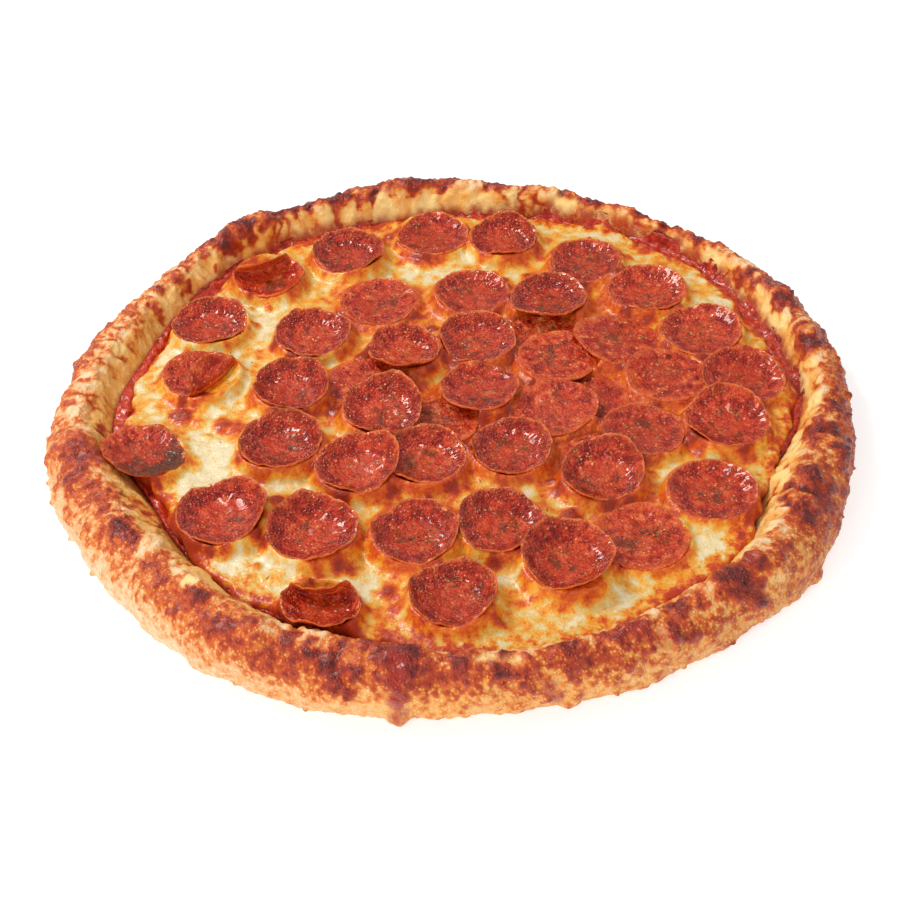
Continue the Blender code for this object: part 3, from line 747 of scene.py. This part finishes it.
rng = random.Random(45)
bead_spots = []
while len(bead_spots) < BEAD_COUNT:
    x0, y0, radius = slice_place[rng.choice(SLICE_NODES)]
    a, gap = rng.uniform(0, TAU), rng.uniform(0.2, 5.0) * MM
    x, y = x0 + (radius + gap) * math.cos(a), y0 + (radius + gap) * math.sin(a)
    if math.hypot(x, y) > cheese_edge(math.atan2(y, x)) - 3 * MM or (x < -0.05 and rng.random() < 0.55):
        continue
    bead_spots.append((np.array([x, y, 0.0]), rng.uniform(1.6, 3.6) * MM, rng.uniform(0.5, 0.95)))
toast_spots = on_cheese(TOASTED_SPOTS, 1.1, 1.4) + bead_spots

top_z = FLOOR_Z + 2 * CLEARANCE + SAUCE_THICKNESS + CHEESE_THICKNESS
base_noise = np.array([noise.noise(Vector((x / 0.030, y / 0.030, 2.4))) for x, y, _ in spot])
drift = sway(spot, 5 * MM, 36.0, 37.0) + 0.4 * sway(spot, 2 * MM, 41.0, 42.0)
toast = spots_on(spot + drift * 0.9 * MM, toast_spots, 1.35, 0.8)
c_base = top_z + 0.7 * MM * base_noise + 0.25 * MM
relief = 0.55 * cloud(spot, 10 * MM, 33.0) + 0.4 * cloud(spot, 4.5 * MM, 34.0)
relief += 0.2 * cloud(spot, 1.9 * MM, 35.0)
lap_noise = smooth_step(cloud(spot, 5.5 * MM, 43.0), -0.05, 0.3)
climbs, cap = np.full(len(spot), -1.0), np.full(len(spot), 1.0)
oily, beside, oily_fringe_and_glow = (np.zeros(len(spot)) for _ in range(3))
for node in SLICE_NODES:
    x0, y0, radius = slice_place[node]
    x, y = (spot[:, 0] - x0) / radius, (spot[:, 1] - y0) / radius
    share = np.hypot(x, y)
    near = share < 1.8
    x, y, share = x[near], y[near], np.maximum(share[near], 1e-6)
    gap = np.maximum((share - 1.0) * radius, 0.0)
    curl = curl_towards(node, x, y)
    goal = lie_of(node, x / share, y / share) - 0.15 * MM - 0.15 * np.maximum(curl, 0.0)
    lift = np.clip(goal - c_base[near], -0.6 * MM, 6.5 * MM)
    close = np.exp(-((np.maximum(gap - 0.6 * MM, 0.0) / (1.5 * MM)) ** 1.5))
    lift *= 0.5 * np.exp(-gap / (3.6 * MM)) + 0.5 * close
    climbs[near] = np.maximum(climbs[near], lift)
    flatness = smooth_step(0.8 * MM - curl, 0.0, 1.0 * MM)
    hollow = smooth_step(share, 0.4, 0.7) * (1.0 - 0.7 * smooth_step(share, 0.84, 0.98))
    under = lie_of(node, x, y) - thickness_at(share) + 0.25 * MM - 0.40 * np.maximum(curl, 0.0) * hollow
    lap = lap_noise[near] * smooth_step(share, 0.86, 0.99) * (0.5 + 2.0 * flatness) * MM
    cap[near] = np.minimum(cap[near], np.where(share < 1.0, under + lap, 1.0))
    # A fringe of orange beside each slice, strongest on its near side: partly oil, partly a painted glow that
    # stands in for light through the near lip.
    near_side = 0.65 + 0.35 * np.clip(-y / share, -1.0, 1.0)
    oily[near] = np.maximum(oily[near], np.exp(-gap / (3.6 * MM)))
    oily_fringe_and_glow[near] = np.maximum(oily_fringe_and_glow[near], near_side * np.exp(-((gap / (2.4 * MM)) ** 1.5)))
    beside[near] += np.exp(-gap / (6.0 * MM))
c_top = c_base + np.maximum(climbs, 0.0) + relief * MM + 1.5 * MM * toast
c_top = np.minimum(c_top, cap)
drop = 1.0 - np.sqrt(np.clip(1.0 - (np.clip(2.6 * MM - from_edge, 0, 1) / (2.6 * MM)) ** 2, 0.0, 1.0))
c_height = c_top - 2.2 * MM * drop
rim_here = [np.interp(c_angle, turns, column, period=TAU) for column in rim_rows.T]
slope_here = slope_height(c_share * edge_here, *rim_here)
c_height = np.maximum(c_height, slope_here + (1.4 - 1.9 * drop) * MM)
c_height = np.where(on_top, np.maximum(c_height, FLOOR_Z + 1.9 * MM), FLOOR_Z + 1.6 * MM)
set_points(cheese, keep_in_box(np.column_stack([spot[:, :2], c_height])))

# %% [markdown]
# Two numbers on the points say how the cheese looks. Warmth goes from cream over orange oil to the brown of
# the beads, with an orange fringe beside each slice that is partly oil and partly a painted glow on its near
# side, and stain says how much sauce soaked in from the edge.

# %% Record where the cheese is oily, browned, or stained at its edge
cream = spots_on(spot + drift * 3.0 * MM, on_cheese(CREAM_POOLS), 1.15, 0.8)
soaked = spots_on(spot, on_cheese(SOAKED))
blotches = cloud(spot + drift * 2 * MM, 11 * MM, 38.0)
warmth = 0.23 + (0.16 + 0.20 * soaked) * oily + 0.20 * soaked * np.clip(beside - 0.7, 0.0, 1.0)
warmth += 0.20 * soaked
# The fringe's share here is partly oil and partly painted glow beside the slices' near lips.
warmth += 0.34 * blotches + 0.30 * cloud(spot, 4 * MM, 39.0) - 0.28 * cream + 0.24 * oily_fringe_and_glow + 0.06
warmth = np.clip(warmth, 0.0, 0.72) + 0.62 * spots_on(spot + drift * 1.2 * MM, toast_spots, 1.65, 0.85)
set_mark(cheese, "warmth", warmth)
stain_width = (2.5 + 6.5 * smooth_step(np.interp(c_angle, edge_turns, past_toe, period=TAU), -4.0, 0.5)) * MM
inside = from_edge + 5.0 * MM * cloud(spot, 9 * MM, 40.0) + 1.6 * MM * cloud(spot, 2.8 * MM, 44.0)
set_mark(cheese, "stain", np.clip(1.0 - (inside / stain_width + 0.35) / 1.6, 0.0, 1.0))
dress(cheese, "melted_cheese", "cheese")

# %% [markdown]
# Every pepperoni slice starts as the same round blank: a circle, inset ring by ring, given a thickness
# and a rounded edge. On the lie that was measured come the waves of the crisp edge, its thinning, and the
# small blisters that the hot fat raised along the cup's wall.

# %% Model one blank slice, 1 across the radius
BLANK_SIDES = 120
BLANK_RINGS = 18

start_fresh()
bpy.ops.mesh.primitive_circle_add(vertices=BLANK_SIDES, radius=1.0, fill_type="NGON")
blank = bpy.context.object
blank.name = "blank_slice"
bpy.ops.object.mode_set(mode="EDIT")
bpy.ops.mesh.select_mode(type="FACE")
bpy.ops.mesh.select_all(action="SELECT")
bpy.ops.mesh.inset(thickness=0.02)
bpy.ops.mesh.inset(thickness=0.03)
for _ in range(BLANK_RINGS - 3):
    bpy.ops.mesh.inset(thickness=0.95 / (BLANK_RINGS - 1))
bpy.ops.mesh.poke()
bpy.ops.mesh.select_all(action="SELECT")
bpy.ops.mesh.extrude_region_move(TRANSFORM_OT_translate={"value": (0, 0, 1.0)})
bpy.ops.mesh.select_all(action="SELECT")
bpy.ops.mesh.normals_make_consistent(inside=False)
bpy.ops.object.mode_set(mode="OBJECT")
blank_points = points_of(blank)
print("blank slice:", len(blank.data.vertices), "points")

# %% [markdown]
# Three slices folded over as they fell. Past a straight line, the meat rolls up and back over itself,
# like a turned-up brim.

# %% Fold a slice
# Direction of the folded side in degrees, place of the fold in radii, radius of the bend in mm
FOLDS = {"15": (-38, 0.30, 1.7), "41": (84, 0.42, 2.2), "05": (118, 0.35, 2.0)}


def bend_over(table, direction, place, radius):
    way = np.array([math.cos(math.radians(direction)), math.sin(math.radians(direction))])
    past = table[:, 0] * way[0] + table[:, 1] * way[1] - place
    turned = np.clip(past, 0.0, None)
    most = 0.86 * math.pi
    bend = np.minimum(turned / radius, most)
    rest = np.maximum(turned - most * radius, 0.0)
    along_way = radius * np.sin(bend) + rest * math.cos(most)
    up = radius * (1.0 - np.cos(bend)) + rest * math.sin(most)
    moved = table.copy()
    moved[:, :2] += np.where(past > 0, along_way - past, 0.0)[:, None] * way
    moved[:, 2] += np.where(past > 0, up, 0.0)
    return moved, bend


# %% [markdown]
# Now the blanks are laid, one for each solid slice. Each gets its own outline, waves and blisters, and
# numbers for the material: how far out a point is, how steep the cup, how flat, scorched and toned the
# slice is, and which points are underneath.

# %% Lay the slices
start_fresh()
slices = []
for order, node in enumerate(SLICE_NODES):
    tag = node[-2:]
    x0, y0, radius = slice_place[node]
    seed = 3.7 * order + 1.0
    pick = random.Random(order)
    piece = blank.copy()
    piece.data = blank.data.copy()
    piece.name = "slice_" + tag
    bpy.context.scene.collection.objects.link(piece)
    x, y, upper = blank_points[:, 0], blank_points[:, 1], blank_points[:, 2] > 0.5
    share = np.clip(np.hypot(x, y), 0.0, 1.0)
    turn = np.arctan2(y, x)
    ring = np.stack([np.cos(turn), np.sin(turn), 0 * turn + seed], axis=1)
    uneven = 0.075 * cloud(ring, 0.9, 0.0) + 0.030 * cloud(ring, 0.33, 2.0) + 0.016 * cloud(ring, 0.13, 4.0)
    wave = 1.2 * cloud(ring, 0.75, 5.0) + 0.40 * cloud(ring, 0.3, 7.0) + 0.20 * cloud(ring, 0.13, 9.0)
    uneven *= pick.uniform(0.7, 1.5)
    px, py = x * (1.0 + uneven * share), y * (1.0 + uneven * share)
    grain = np.stack([px * radius + x0, py * radius + y0, 0 * px], axis=1)
    curled = max(extra_curl(node), 0.0)
    height = lie_of(node, x, y) + (0.75 * curled + 0.30 * MM) * wave * share**5
    on_wall = smooth_step(share, 0.45, 0.7) * (1.0 - smooth_step(share, 0.94, 1.0))
    fat_bubbles = bubbles(grain, 3.1 * MM, seed + 2) * smooth_step(cloud(grain, 8 * MM, seed + 4), -0.1, 0.4)
    bumps = 0.45 * cloud(grain, 2.2 * MM, seed) + 0.65 * cloud(grain, 6 * MM, seed + 1)
    bumps += 0.55 * cloud(ring, 0.17, 11.0) * on_wall * min(1.0, curled / (1.5 * MM))
    bumps += 0.8 * fat_bubbles * (0.30 + 0.70 * on_wall)
    blistered = smooth_step(cloud(grain, 5 * MM, seed + 7), -0.3, 0.3)
    bumps += 0.5 * bubbles(grain, 1.7 * MM, seed + 6) * on_wall * blistered
    height = height + np.where(upper, np.maximum(bumps, -0.45) * MM, -thickness_at(share))
    round_off = 0.016 * smooth_step(share, 0.985, 1.0)
    table = np.stack([px * (1 - round_off) * radius, py * (1 - round_off) * radius, height], axis=1)
    bend = np.zeros(len(table))
    if tag in FOLDS:
        direction, place, bend_radius = FOLDS[tag]
        table, bend = bend_over(table, direction, place * radius, bend_radius * MM)
    table[:, 0] += x0
    table[:, 1] += y0
    set_points(piece, keep_in_box(table))
    scorch = 0.30 * cloud(grain, 8 * MM, seed + 3) + pick.uniform(-0.20, 0.16)
    if tag == "26":
        scorch = scorch + 1.0 * smooth_step(0.75 * x - 0.66 * y + 0.5 * cloud(grain, 6 * MM, 3.0), -0.3, 0.8)
    set_mark(piece, "out", share)
    set_mark(piece, "cup", on_wall * min(1.0, 0.15 + curled / (2.6 * MM)))
    set_mark(piece, "flat", np.full(len(share), 1.0 - min(1.0, curled / (1.0 * MM))))
    set_mark(piece, "scorch", scorch - 0.25 * smooth_step(bend, 0.5, 2.0) - (0.25 if tag == "41" else 0.0))
    set_mark(piece, "tone", np.full(len(share), pick.uniform(-1, 1)))
    set_mark(piece, "under", np.where(upper, 0.0, 1.0))
    slices.append(piece)
for piece, node in zip(slices, SLICE_NODES):
    dress(piece, "pepperoni", node)
bpy.data.objects.remove(blank)
print(len(slices), "slices laid")

# %% [markdown]
# Dried herbs are sprinkled over the slices and gather in their cups. A flake is a small curled leaf of a
# few faces, modelled once and given its thickness by a modifier.

# %% Model one herb flake
start_fresh()
bpy.ops.mesh.primitive_grid_add(x_subdivisions=3, y_subdivisions=2, size=1.0)
flake = bpy.context.object
flake.name = "herb_flake"
leaf = points_of(flake)
leaf[:, 1] *= 0.42 * np.cos(leaf[:, 0] * 2.6)
leaf[:, 2] = 0.30 * leaf[:, 0] ** 2 + 0.5 * leaf[:, 1] ** 2
set_points(flake, leaf)
thick = flake.modifiers.new("thin leaf", "SOLIDIFY")
thick.thickness = 0.10
bpy.ops.object.modifier_apply(modifier="thin leaf")
leaf = points_of(flake)
leaf_faces = [tuple(face.vertices) for face in flake.data.polygons]
print("flake:", len(leaf_faces), "faces")

# %% [markdown]
# The flake is copied many times, each copy dropped straight down on whatever lies below. Most fall in loose
# heaps on the slices, and fewer on the left of the pie.

# %% Sprinkle the herbs
HERB_COUNT = 2300
rng = random.Random(7)
bpy.context.view_layer.update()
graph = bpy.context.evaluated_depsgraph_get()
heaps = []
for node in SLICE_NODES:
    x0, y0, radius = slice_place[node]
    share = 0.25 + 0.75 * float(smooth_step(x0, -0.10, 0.01))
    for _ in range(rng.choice((1, 2, 2, 3))):
        r, a = 0.55 * radius * math.sqrt(rng.random()), rng.uniform(0, TAU)
        width, strength = rng.uniform(2.0, 5.5) * MM, share * rng.uniform(0.4, 1.0)
        heaps.append((x0 + r * math.cos(a), y0 + r * math.sin(a) - 1.5 * MM, width, strength))
weights = [heap[3] * heap[2] for heap in heaps]
sprinkled, sprinkled_faces, sprinkled_tone = [], [], []
while len(sprinkled) < HERB_COUNT:
    if rng.random() < 0.72:
        x0, y0, width, _ = rng.choices(heaps, weights)[0]
        x, y = rng.gauss(x0, width), rng.gauss(y0, width)
    elif rng.random() < 0.7:
        x0, y0, radius = slice_place[rng.choice(SLICE_NODES)]
        r, a = radius * 0.92 * math.sqrt(rng.random()), rng.uniform(0, TAU)
        x, y = x0 + r * math.cos(a), y0 + r * math.sin(a)
    else:
        a = rng.uniform(0, TAU)
        r = 0.97 * cheese_edge(a) * math.sqrt(rng.random())
        x, y = r * math.cos(a), r * math.sin(a)
    if math.hypot(x, y) > 0.145 or (x < -0.03 and rng.random() < 0.45):
        continue
    start = Vector((x, y, RAY_START))
    found, spot_at, normal = bpy.context.scene.ray_cast(graph, start, STRAIGHT_DOWN)[:3]
    if not found:
        continue
    size = rng.uniform(0.8, 1.6) * MM if rng.random() < 0.82 else rng.uniform(1.4, 2.6) * MM
    lean = Vector((rng.uniform(-0.3, 0.3), rng.uniform(-0.3, 0.3), 0.6))
    upright = (normal + lean).to_track_quat("Z", "Y").to_matrix()
    turned = upright @ Matrix.Rotation(rng.uniform(0, TAU), 3, "Z")
    place = np.array(spot_at + normal * 0.04 * MM)
    slim = rng.uniform(0.5, 1.0) if size < 1.35 * MM else rng.uniform(0.25, 0.5)
    base = len(leaf) * len(sprinkled)
    sprinkled.append((leaf * [size, size * slim, size * 0.8]) @ np.array(turned).T + place)
    sprinkled_faces += [tuple(index + base for index in face) for face in leaf_faces]
    sprinkled_tone.append(np.full(len(leaf), rng.random()))
herb_mesh = bpy.data.meshes.new("dried_herbs")
herb_mesh.from_pydata(np.concatenate(sprinkled).tolist(), [], sprinkled_faces)
herbs = bpy.data.objects.new("dried_herbs", herb_mesh)
bpy.context.scene.collection.objects.link(herbs)
bpy.data.objects.remove(flake)
set_mark(herbs, "tone", np.concatenate(sprinkled_tone))
dress(herbs, "pepperoni")

# %% [markdown]
# Materials. The maths of a shader reads best as plain sums, so a small class wraps a socket and lets
# + - and * add the Math nodes. A second class holds one material: a Principled shader, and one method
# that adds any other node with its settings and the values or links of its sockets.

# %% Helpers for materials
class Value:
    """A number that varies over the surface."""

    def __init__(self, paint, socket):
        self.paint, self.socket = paint, socket

    def math(self, operation, *terms, clamp=False):
        made = self.paint.node("ShaderNodeMath", {"operation": operation, "use_clamp": clamp},
                               dict(enumerate(terms)))
        return Value(self.paint, made.outputs[0])

    def __add__(self, other):
        return self.math("ADD", self, other)

    def __sub__(self, other):
        return self.math("SUBTRACT", self, other)

    def __rsub__(self, other):
        return self.math("SUBTRACT", other, self)

    def __mul__(self, other):
        return self.math("MULTIPLY", self, other)

    __radd__, __rmul__ = __add__, __mul__

    def clamped(self):
        return self.math("ADD", self, 0.0, clamp=True)


def colour(red, green, blue):
    """A colour as it looks on a screen, 0 to 255, turned into the linear light that shaders use."""
    return tuple(((part / 255 + 0.055) / 1.055) ** 2.4 if part > 10 else part / 3294
                 for part in (red, green, blue)) + (1.0,)


class Paint:
    """One material with a Principled shader."""

    def __init__(self, name, **constants):
        self.material = bpy.data.materials.new(name)
        self.material.use_nodes = True
        self.tree = self.material.node_tree
        self.shader = self.tree.nodes["Principled BSDF"]
        for key, value in constants.items():
            self.shader.inputs[key.replace("_", " ")].default_value = value
        self.place = Value(self, self.node("ShaderNodeTexCoord").outputs["Object"])

    def node(self, kind, settings=None, sockets=None):
        made = self.tree.nodes.new(kind)
        for key, value in (settings or {}).items():
            if key == "stops":
                for at, shade in value[1:-1]:
                    made.color_ramp.elements.new(at)
                for element, (at, shade) in zip(made.color_ramp.elements, value):
                    element.position, element.color = at, shade
            else:
                setattr(made, key, value)
        for key, value in (sockets or {}).items():
            self.feed(made.inputs[key], value)
        return made

    def feed(self, socket, value):
        if isinstance(value, Value):
            self.tree.links.new(value.socket, socket)
        else:
            socket.default_value = value

    def finish(self, **sockets):
        for key, value in sockets.items():
            self.feed(self.shader.inputs[key.replace("_", " ")], value)

    def mark(self, name):
        return Value(self, self.node("ShaderNodeAttribute", {"attribute_name": name}).outputs["Fac"])

    def noise(self, size, detail=3.0, rough=0.55):
        made = self.node("ShaderNodeTexNoise", None,
                         {"Vector": self.place, "Scale": 1.0 / size, "Detail": detail, "Roughness": rough})
        return Value(self, made.outputs["Fac"])

    def cells(self, size):
        made = self.node("ShaderNodeTexVoronoi", None, {"Vector": self.place, "Scale": 1.0 / size})
        return Value(self, made.outputs["Distance"])

    def between(self, value, low, high):
        made = self.node("ShaderNodeMapRange", {"interpolation_type": "SMOOTHSTEP"},
                         {"Value": value, "From Min": low, "From Max": high})
        return Value(self, made.outputs["Result"])

    def ramp(self, value, *stops):
        """A colour that follows a value. Each stop is (value, red, green, blue)."""
        made = self.node("ShaderNodeValToRGB", {"stops": [(stop[0], colour(*stop[1:])) for stop in stops]},
                         {"Fac": value})
        return Value(self, made.outputs["Color"])

    def over(self, below, share, *shade):
        """A colour laid over another, as strongly as the share says."""
        made = self.node("ShaderNodeMix", {"data_type": "RGBA"}, {0: share, 6: below, 7: colour(*shade)})
        return Value(self, made.outputs[2])

    def bump(self, height, distance):
        made = self.node("ShaderNodeBump", None, {"Height": height, "Distance": distance, "Strength": 1.0})
        return Value(self, made.outputs["Normal"])

    def cover(self, *pieces):
        for piece in pieces:
            piece.data.materials.clear()
            piece.data.materials.append(self.material)


# %% [markdown]
# Baked dough goes from pale gold through orange to a dark red-brown, and all of that is one ramp, read by
# the number kept on the points plus fine noise. Over the ramp lie the creamy patches, the sauce smears, and
# the grain of tiny blisters, whose tops are made paler as small painted highlights that dot the wall.

# %% Paint the crust
dough = Paint("baked crust", Subsurface_Weight=0.05, Subsurface_Scale=0.003, Coat_Roughness=0.22,
              Subsurface_Radius=(1.0, 0.45, 0.2), Specular_IOR_Level=0.42)
fine_noise = dough.noise(1.5 * MM, 3.0, 0.6)
dust = dough.noise(5.0 * MM, 4.0, 0.62)
blister_tops_and_glints = 1.0 - dough.between(dough.cells(1.6 * MM), 0.08, 0.58)
grain, slope, damp = (dough.mark(name) for name in ("grain", "slope", "wet"))
islands = dough.between(dough.noise(4.2 * MM, 2.0, 0.5), 0.46, 0.56) - 0.5
brown = dough.mark("bake") + 0.11 * islands * dough.mark("crag") + 0.24 * (fine_noise - 0.5)
# Painted highlights: the tops of the tiny blisters are made paler along the upper wall and crest.
brown = brown + 0.22 * (dust - 0.5) - 0.20 * (blister_tops_and_glints - 0.35) * grain
crust_colour = dough.ramp(
    brown, (0.02, 238, 204, 162), (0.16, 232, 182, 132), (0.28, 226, 158, 98), (0.40, 212, 112, 42),
    (0.54, 186, 72, 28), (0.72, 152, 46, 26), (1.00, 98, 32, 28),
)
golden = dough.between(brown, 0.55, 0.25) * slope * 0.75
cream_share = (dough.mark("pale") * dough.between(fine_noise + 0.5 * dust, 0.30, 0.60)).clamped()
red_share = (dough.mark("red") * dough.between(dust + 0.3 * fine_noise, 0.30, 0.70)).clamped()
crust_colour = dough.over(crust_colour, golden, 244, 182, 80)
crust_colour = dough.over(crust_colour, cream_share * 0.9, 246, 216, 140)
crust_colour = dough.over(crust_colour, red_share * 0.9, 166, 34, 18)
roughness = 0.60 - 0.28 * dough.between(brown, 0.35, 0.8) - 0.18 * slope - 0.3 * damp + 0.25 * (dust - 0.5)
coat = 0.16 * dough.between(brown, 0.35, 0.7) + 0.15 * slope + 0.4 * damp
blisters = 0.45 * blister_tops_and_glints * grain * (1.0 + 1.2 * dough.between(brown, 0.45, 0.75))
dough.finish(Base_Color=crust_colour, Roughness=roughness.clamped(), Coat_Weight=coat.clamped(),
             Normal=dough.bump(blisters + 0.7 * fine_noise + 0.45 * dough.noise(0.7 * MM, 2.0), 0.75 * MM))
dough.cover(crust)

# %% [markdown]
# Cooked tomato sauce is a wet, deep red, darker and browner where it is thin and has dried against the
# dough. Its gloss matters more than its colour, so it gets a clear coat over a lumpy bump.

# %% Paint the sauce
tomato = Paint("tomato sauce", Subsurface_Weight=0.08, Subsurface_Scale=0.003, Coat_Roughness=0.10,
               Specular_IOR_Level=0.45)
pulp = tomato.noise(3.2 * MM, 4.0, 0.6)
seeds = tomato.noise(1.1 * MM, 2.0)
thick_here = tomato.mark("thick")
sauce_colour = tomato.ramp(
    pulp + 0.25 * (seeds - 0.5) + 0.14 * (thick_here - 1.0),
    (0.22, 118, 18, 8), (0.42, 172, 34, 14), (0.58, 202, 60, 24), (0.78, 226, 122, 50),
)
tomato.finish(Base_Color=sauce_colour, Roughness=(0.24 + 0.3 * (pulp - 0.5)).clamped(),
              Coat_Weight=thick_here * 0.5, Normal=tomato.bump(pulp + 0.5 * seeds, 0.9 * MM))
tomato.cover(sauce)

# %% [markdown]
# The cheese is cream where it pooled, yellow to orange where oil from the slices soaked in, and brown
# on its beads. It is oily, so it shines, and light sinks into it a little.

# %% Paint the cheese
curd = Paint("melted cheese", Subsurface_Weight=0.18, Subsurface_Scale=0.004, Coat_Roughness=0.12,
             Coat_Weight=0.22, Subsurface_Radius=(1.0, 0.55, 0.25), Specular_IOR_Level=0.35)
strings = curd.noise(3.2 * MM, 4.0, 0.6)
specks = curd.noise(1.2 * MM, 2.0)
stain = curd.mark("stain") + 1.1 * (strings - 0.5)
warmth = curd.mark("warmth") + 0.80 * (strings - 0.5) + 0.34 * (specks - 0.5)
warmth = warmth + 0.45 * curd.between(stain, 0.10, 0.85)
cheese_colour = curd.ramp(
    warmth, (0.02, 226, 210, 172), (0.20, 216, 188, 122), (0.36, 224, 164, 58), (0.52, 222, 130, 28),
    (0.66, 208, 92, 26), (0.82, 186, 64, 22), (1.0, 150, 46, 22),
)
cheese_colour = curd.over(cheese_colour, curd.between(stain, 0.45, 1.05) * 0.8, 184, 54, 32)
curd.finish(Base_Color=cheese_colour, Roughness=(0.30 + 0.3 * (strings - 0.5)).clamped(),
            Normal=curd.bump(strings + 0.4 * specks, 0.7 * MM))
curd.cover(cheese)

# %% [markdown]
# Cured sausage is a mottle of red lean meat and pale fat. Baking darkens it and reddens the wall of the cup,
# where it lies wet with its own oil. Along the crisp edge runs a thin, lighter orange line: a painted
# highlight and a painted glow of light through the thin meat. Herb dust browns the floor. The underside is
# painted a light orange, a painted glow where the lip would lie in its own shade. Each of these is one colour
# laid over the last, and how strongly is a number that varies over the slice.

# %% Paint the pepperoni
cured = Paint("pepperoni", Subsurface_Weight=0.05, Subsurface_Scale=0.002, Coat_Roughness=0.10,
              Subsurface_Radius=(1.0, 0.3, 0.2), Specular_IOR_Level=0.32)
meat = cured.noise(4.5 * MM, 4.0, 0.62)
fibre = cured.noise(1.2 * MM, 3.0, 0.6)
out, cup, scorch, flatness, under = (cured.mark(name) for name in ("out", "cup", "scorch", "flat", "under"))
redness = 0.49 + (1.00 + 0.5 * flatness) * (meat - 0.5) + 0.32 * (fibre - 0.5) + 0.05 * cured.mark("tone")
redness = redness - 0.30 * scorch - 0.10 * cup
meat_colour = cured.ramp(redness, (0.12, 92, 16, 6), (0.30, 140, 24, 4), (0.46, 176, 38, 6),
                         (0.62, 204, 70, 24), (0.84, 232, 142, 82))
cup_floor = cured.between(out + 0.3 * (meat - 0.5), 0.66, 0.34)
wall_ring = cured.between(out, 0.48, 0.72) * cured.between(out + 0.2 * (meat - 0.5), 0.97, 0.84)
wall_ring = wall_ring * (1.0 - flatness)
fat_share = 1.0 - cured.between(cured.cells(2.1 * MM) + 0.5 * (fibre - 0.5), 0.08, 0.28)
fat_share = fat_share * cured.between(meat, 0.36, 0.56)
flecks = 1.0 - cured.between(cured.cells(2.4 * MM), 0.12, 0.22)
flecks = flecks * cured.between(cured.noise(6.0 * MM, 2.0), 0.44, 0.56)
herb_dust = cured.between(cured.noise(7.0 * MM, 4.0, 0.7) + 0.3 * (fibre - 0.5) - 0.3 * cup, 0.52, 0.62)
herb_dust = herb_dust * cured.between(out, 0.90, 0.45)
oil_film = cured.between(out + 0.9 * (cured.noise(5.0 * MM, 4.0, 0.6) - 0.5), 0.74, 1.0)
oil_film = oil_film * (0.30 + 0.40 * flatness)
# Painted highlight: a thin lighter orange line along the crisp edge, for light catching it and shining
# through the thin meat.
crisp_edge_highlight = cured.between(out + 0.16 * (meat - 0.5), 0.93, 0.985) * (1.0 - 0.5 * under) * (1.0 - 0.7 * flatness)
char_share = cured.between(scorch + 1.1 * (meat - 0.5) + 0.6 * (fibre - 0.5), 0.35, 1.15)
for share, shade in (
    (cup_floor * 0.45, (188, 60, 28)),
    (wall_ring * cured.between(meat, 0.62, 0.38) * 0.85, (144, 20, 4)),
    (wall_ring * cured.between(meat, 0.44, 0.62) * 0.60, (206, 56, 18)),
    (fat_share * 0.75, (232, 160, 104)),
    (flecks * 0.80, (244, 190, 126)),
    (herb_dust * 0.75, (90, 40, 14)),
    (oil_film, (212, 88, 32)),
    (crisp_edge_highlight * 0.75, (232, 122, 62)),
    (char_share * 0.85, (84, 38, 12)),
    # Painted glow: the underside, seen as the outer band of the lip, is painted light orange to stand in for
    # light through the meat and to lighten its shade.
    (under * 0.65, (232, 96, 36)),
):
    meat_colour = cured.over(meat_colour, share, *shade)
pimples = 1.0 - cured.between(cured.cells(1.4 * MM), 0.0, 0.7)
relief = 0.8 * meat + 0.6 * fibre + 0.4 * fat_share + 0.6 * pimples * (0.45 + cup)
cured.finish(Base_Color=meat_colour, Roughness=(0.30 + 0.35 * (meat - 0.5) - 0.08 * cup).clamped(),
             Coat_Weight=(0.22 + 0.46 * cup + 0.5 * (meat - 0.5)).clamped(),
             Normal=cured.bump(relief, 1.0 * MM))
cured.cover(*slices)

# %% [markdown]
# The flakes differ only in tone, from dark brown to straw, so one ramp over that number is enough.

# %% Paint the herbs
herb = Paint("dried herbs", Roughness=0.7)
herb_colour = herb.ramp(herb.mark("tone"), (0.05, 66, 40, 20), (0.45, 98, 66, 30), (0.8, 126, 90, 44),
                        (0.97, 186, 140, 84))
herb.finish(Base_Color=herb_colour)
herb.cover(herbs)
print("materials:", [m.name for m in bpy.data.materials if m.users])

# %% [markdown]
# Light. A soft lamp stands to the left and a little behind, which puts the bright glints on the
# right-hand walls of the cups. A larger one fills from the near left and another from the far right; the
# wet slices would mirror both as pale squares, so those two light the food without showing in it. The
# table is plain white, and a white room gives the even light of a studio.

# %% Set the table and the light
start_fresh()
bpy.ops.mesh.primitive_plane_add(size=8.0, location=(0, 0, -0.2 * MM))
table_top = bpy.context.object
table_top.name = "table"
white = Paint("white table", Roughness=0.9, Base_Color=(0.55, 0.55, 0.55, 1.0),
              Emission_Color=(1.0, 1.0, 1.0, 1.0), Emission_Strength=0.60)
white.cover(table_top)


def lamp(name, towards, distance, size, power, shade=(1.0, 1.0, 1.0), shows=True):
    """A square soft lamp, aimed at the pie's middle. One that doesn't show isn't mirrored by it."""
    way = Vector(towards).normalized()
    bpy.ops.object.light_add(type="AREA", location=way * distance)
    made = bpy.context.object
    made.name = name
    made.rotation_euler = way.to_track_quat("Z", "Y").to_euler()
    made.data.size, made.data.energy, made.data.color = size, power, shade
    made.visible_glossy = shows


lamp("key lamp", (-0.50, 0.34, 0.80), 1.3, 0.38, 10.5, (1.0, 0.97, 0.92))
lamp("fill lamp", (-0.40, -0.90, 0.50), 1.6, 1.2, 16.0, shows=False)
lamp("far lamp", (0.8, 0.35, 0.8), 1.8, 1.1, 6.0, (1.0, 0.94, 0.86), shows=False)
room = bpy.data.worlds.new("white room")
room.use_nodes = True
room.node_tree.nodes["Background"].inputs["Color"].default_value = (1.0, 1.0, 1.0, 1.0)
room.node_tree.nodes["Background"].inputs["Strength"].default_value = 0.44
bpy.context.scene.world = room
bpy.context.scene.view_settings.view_transform = "Standard"
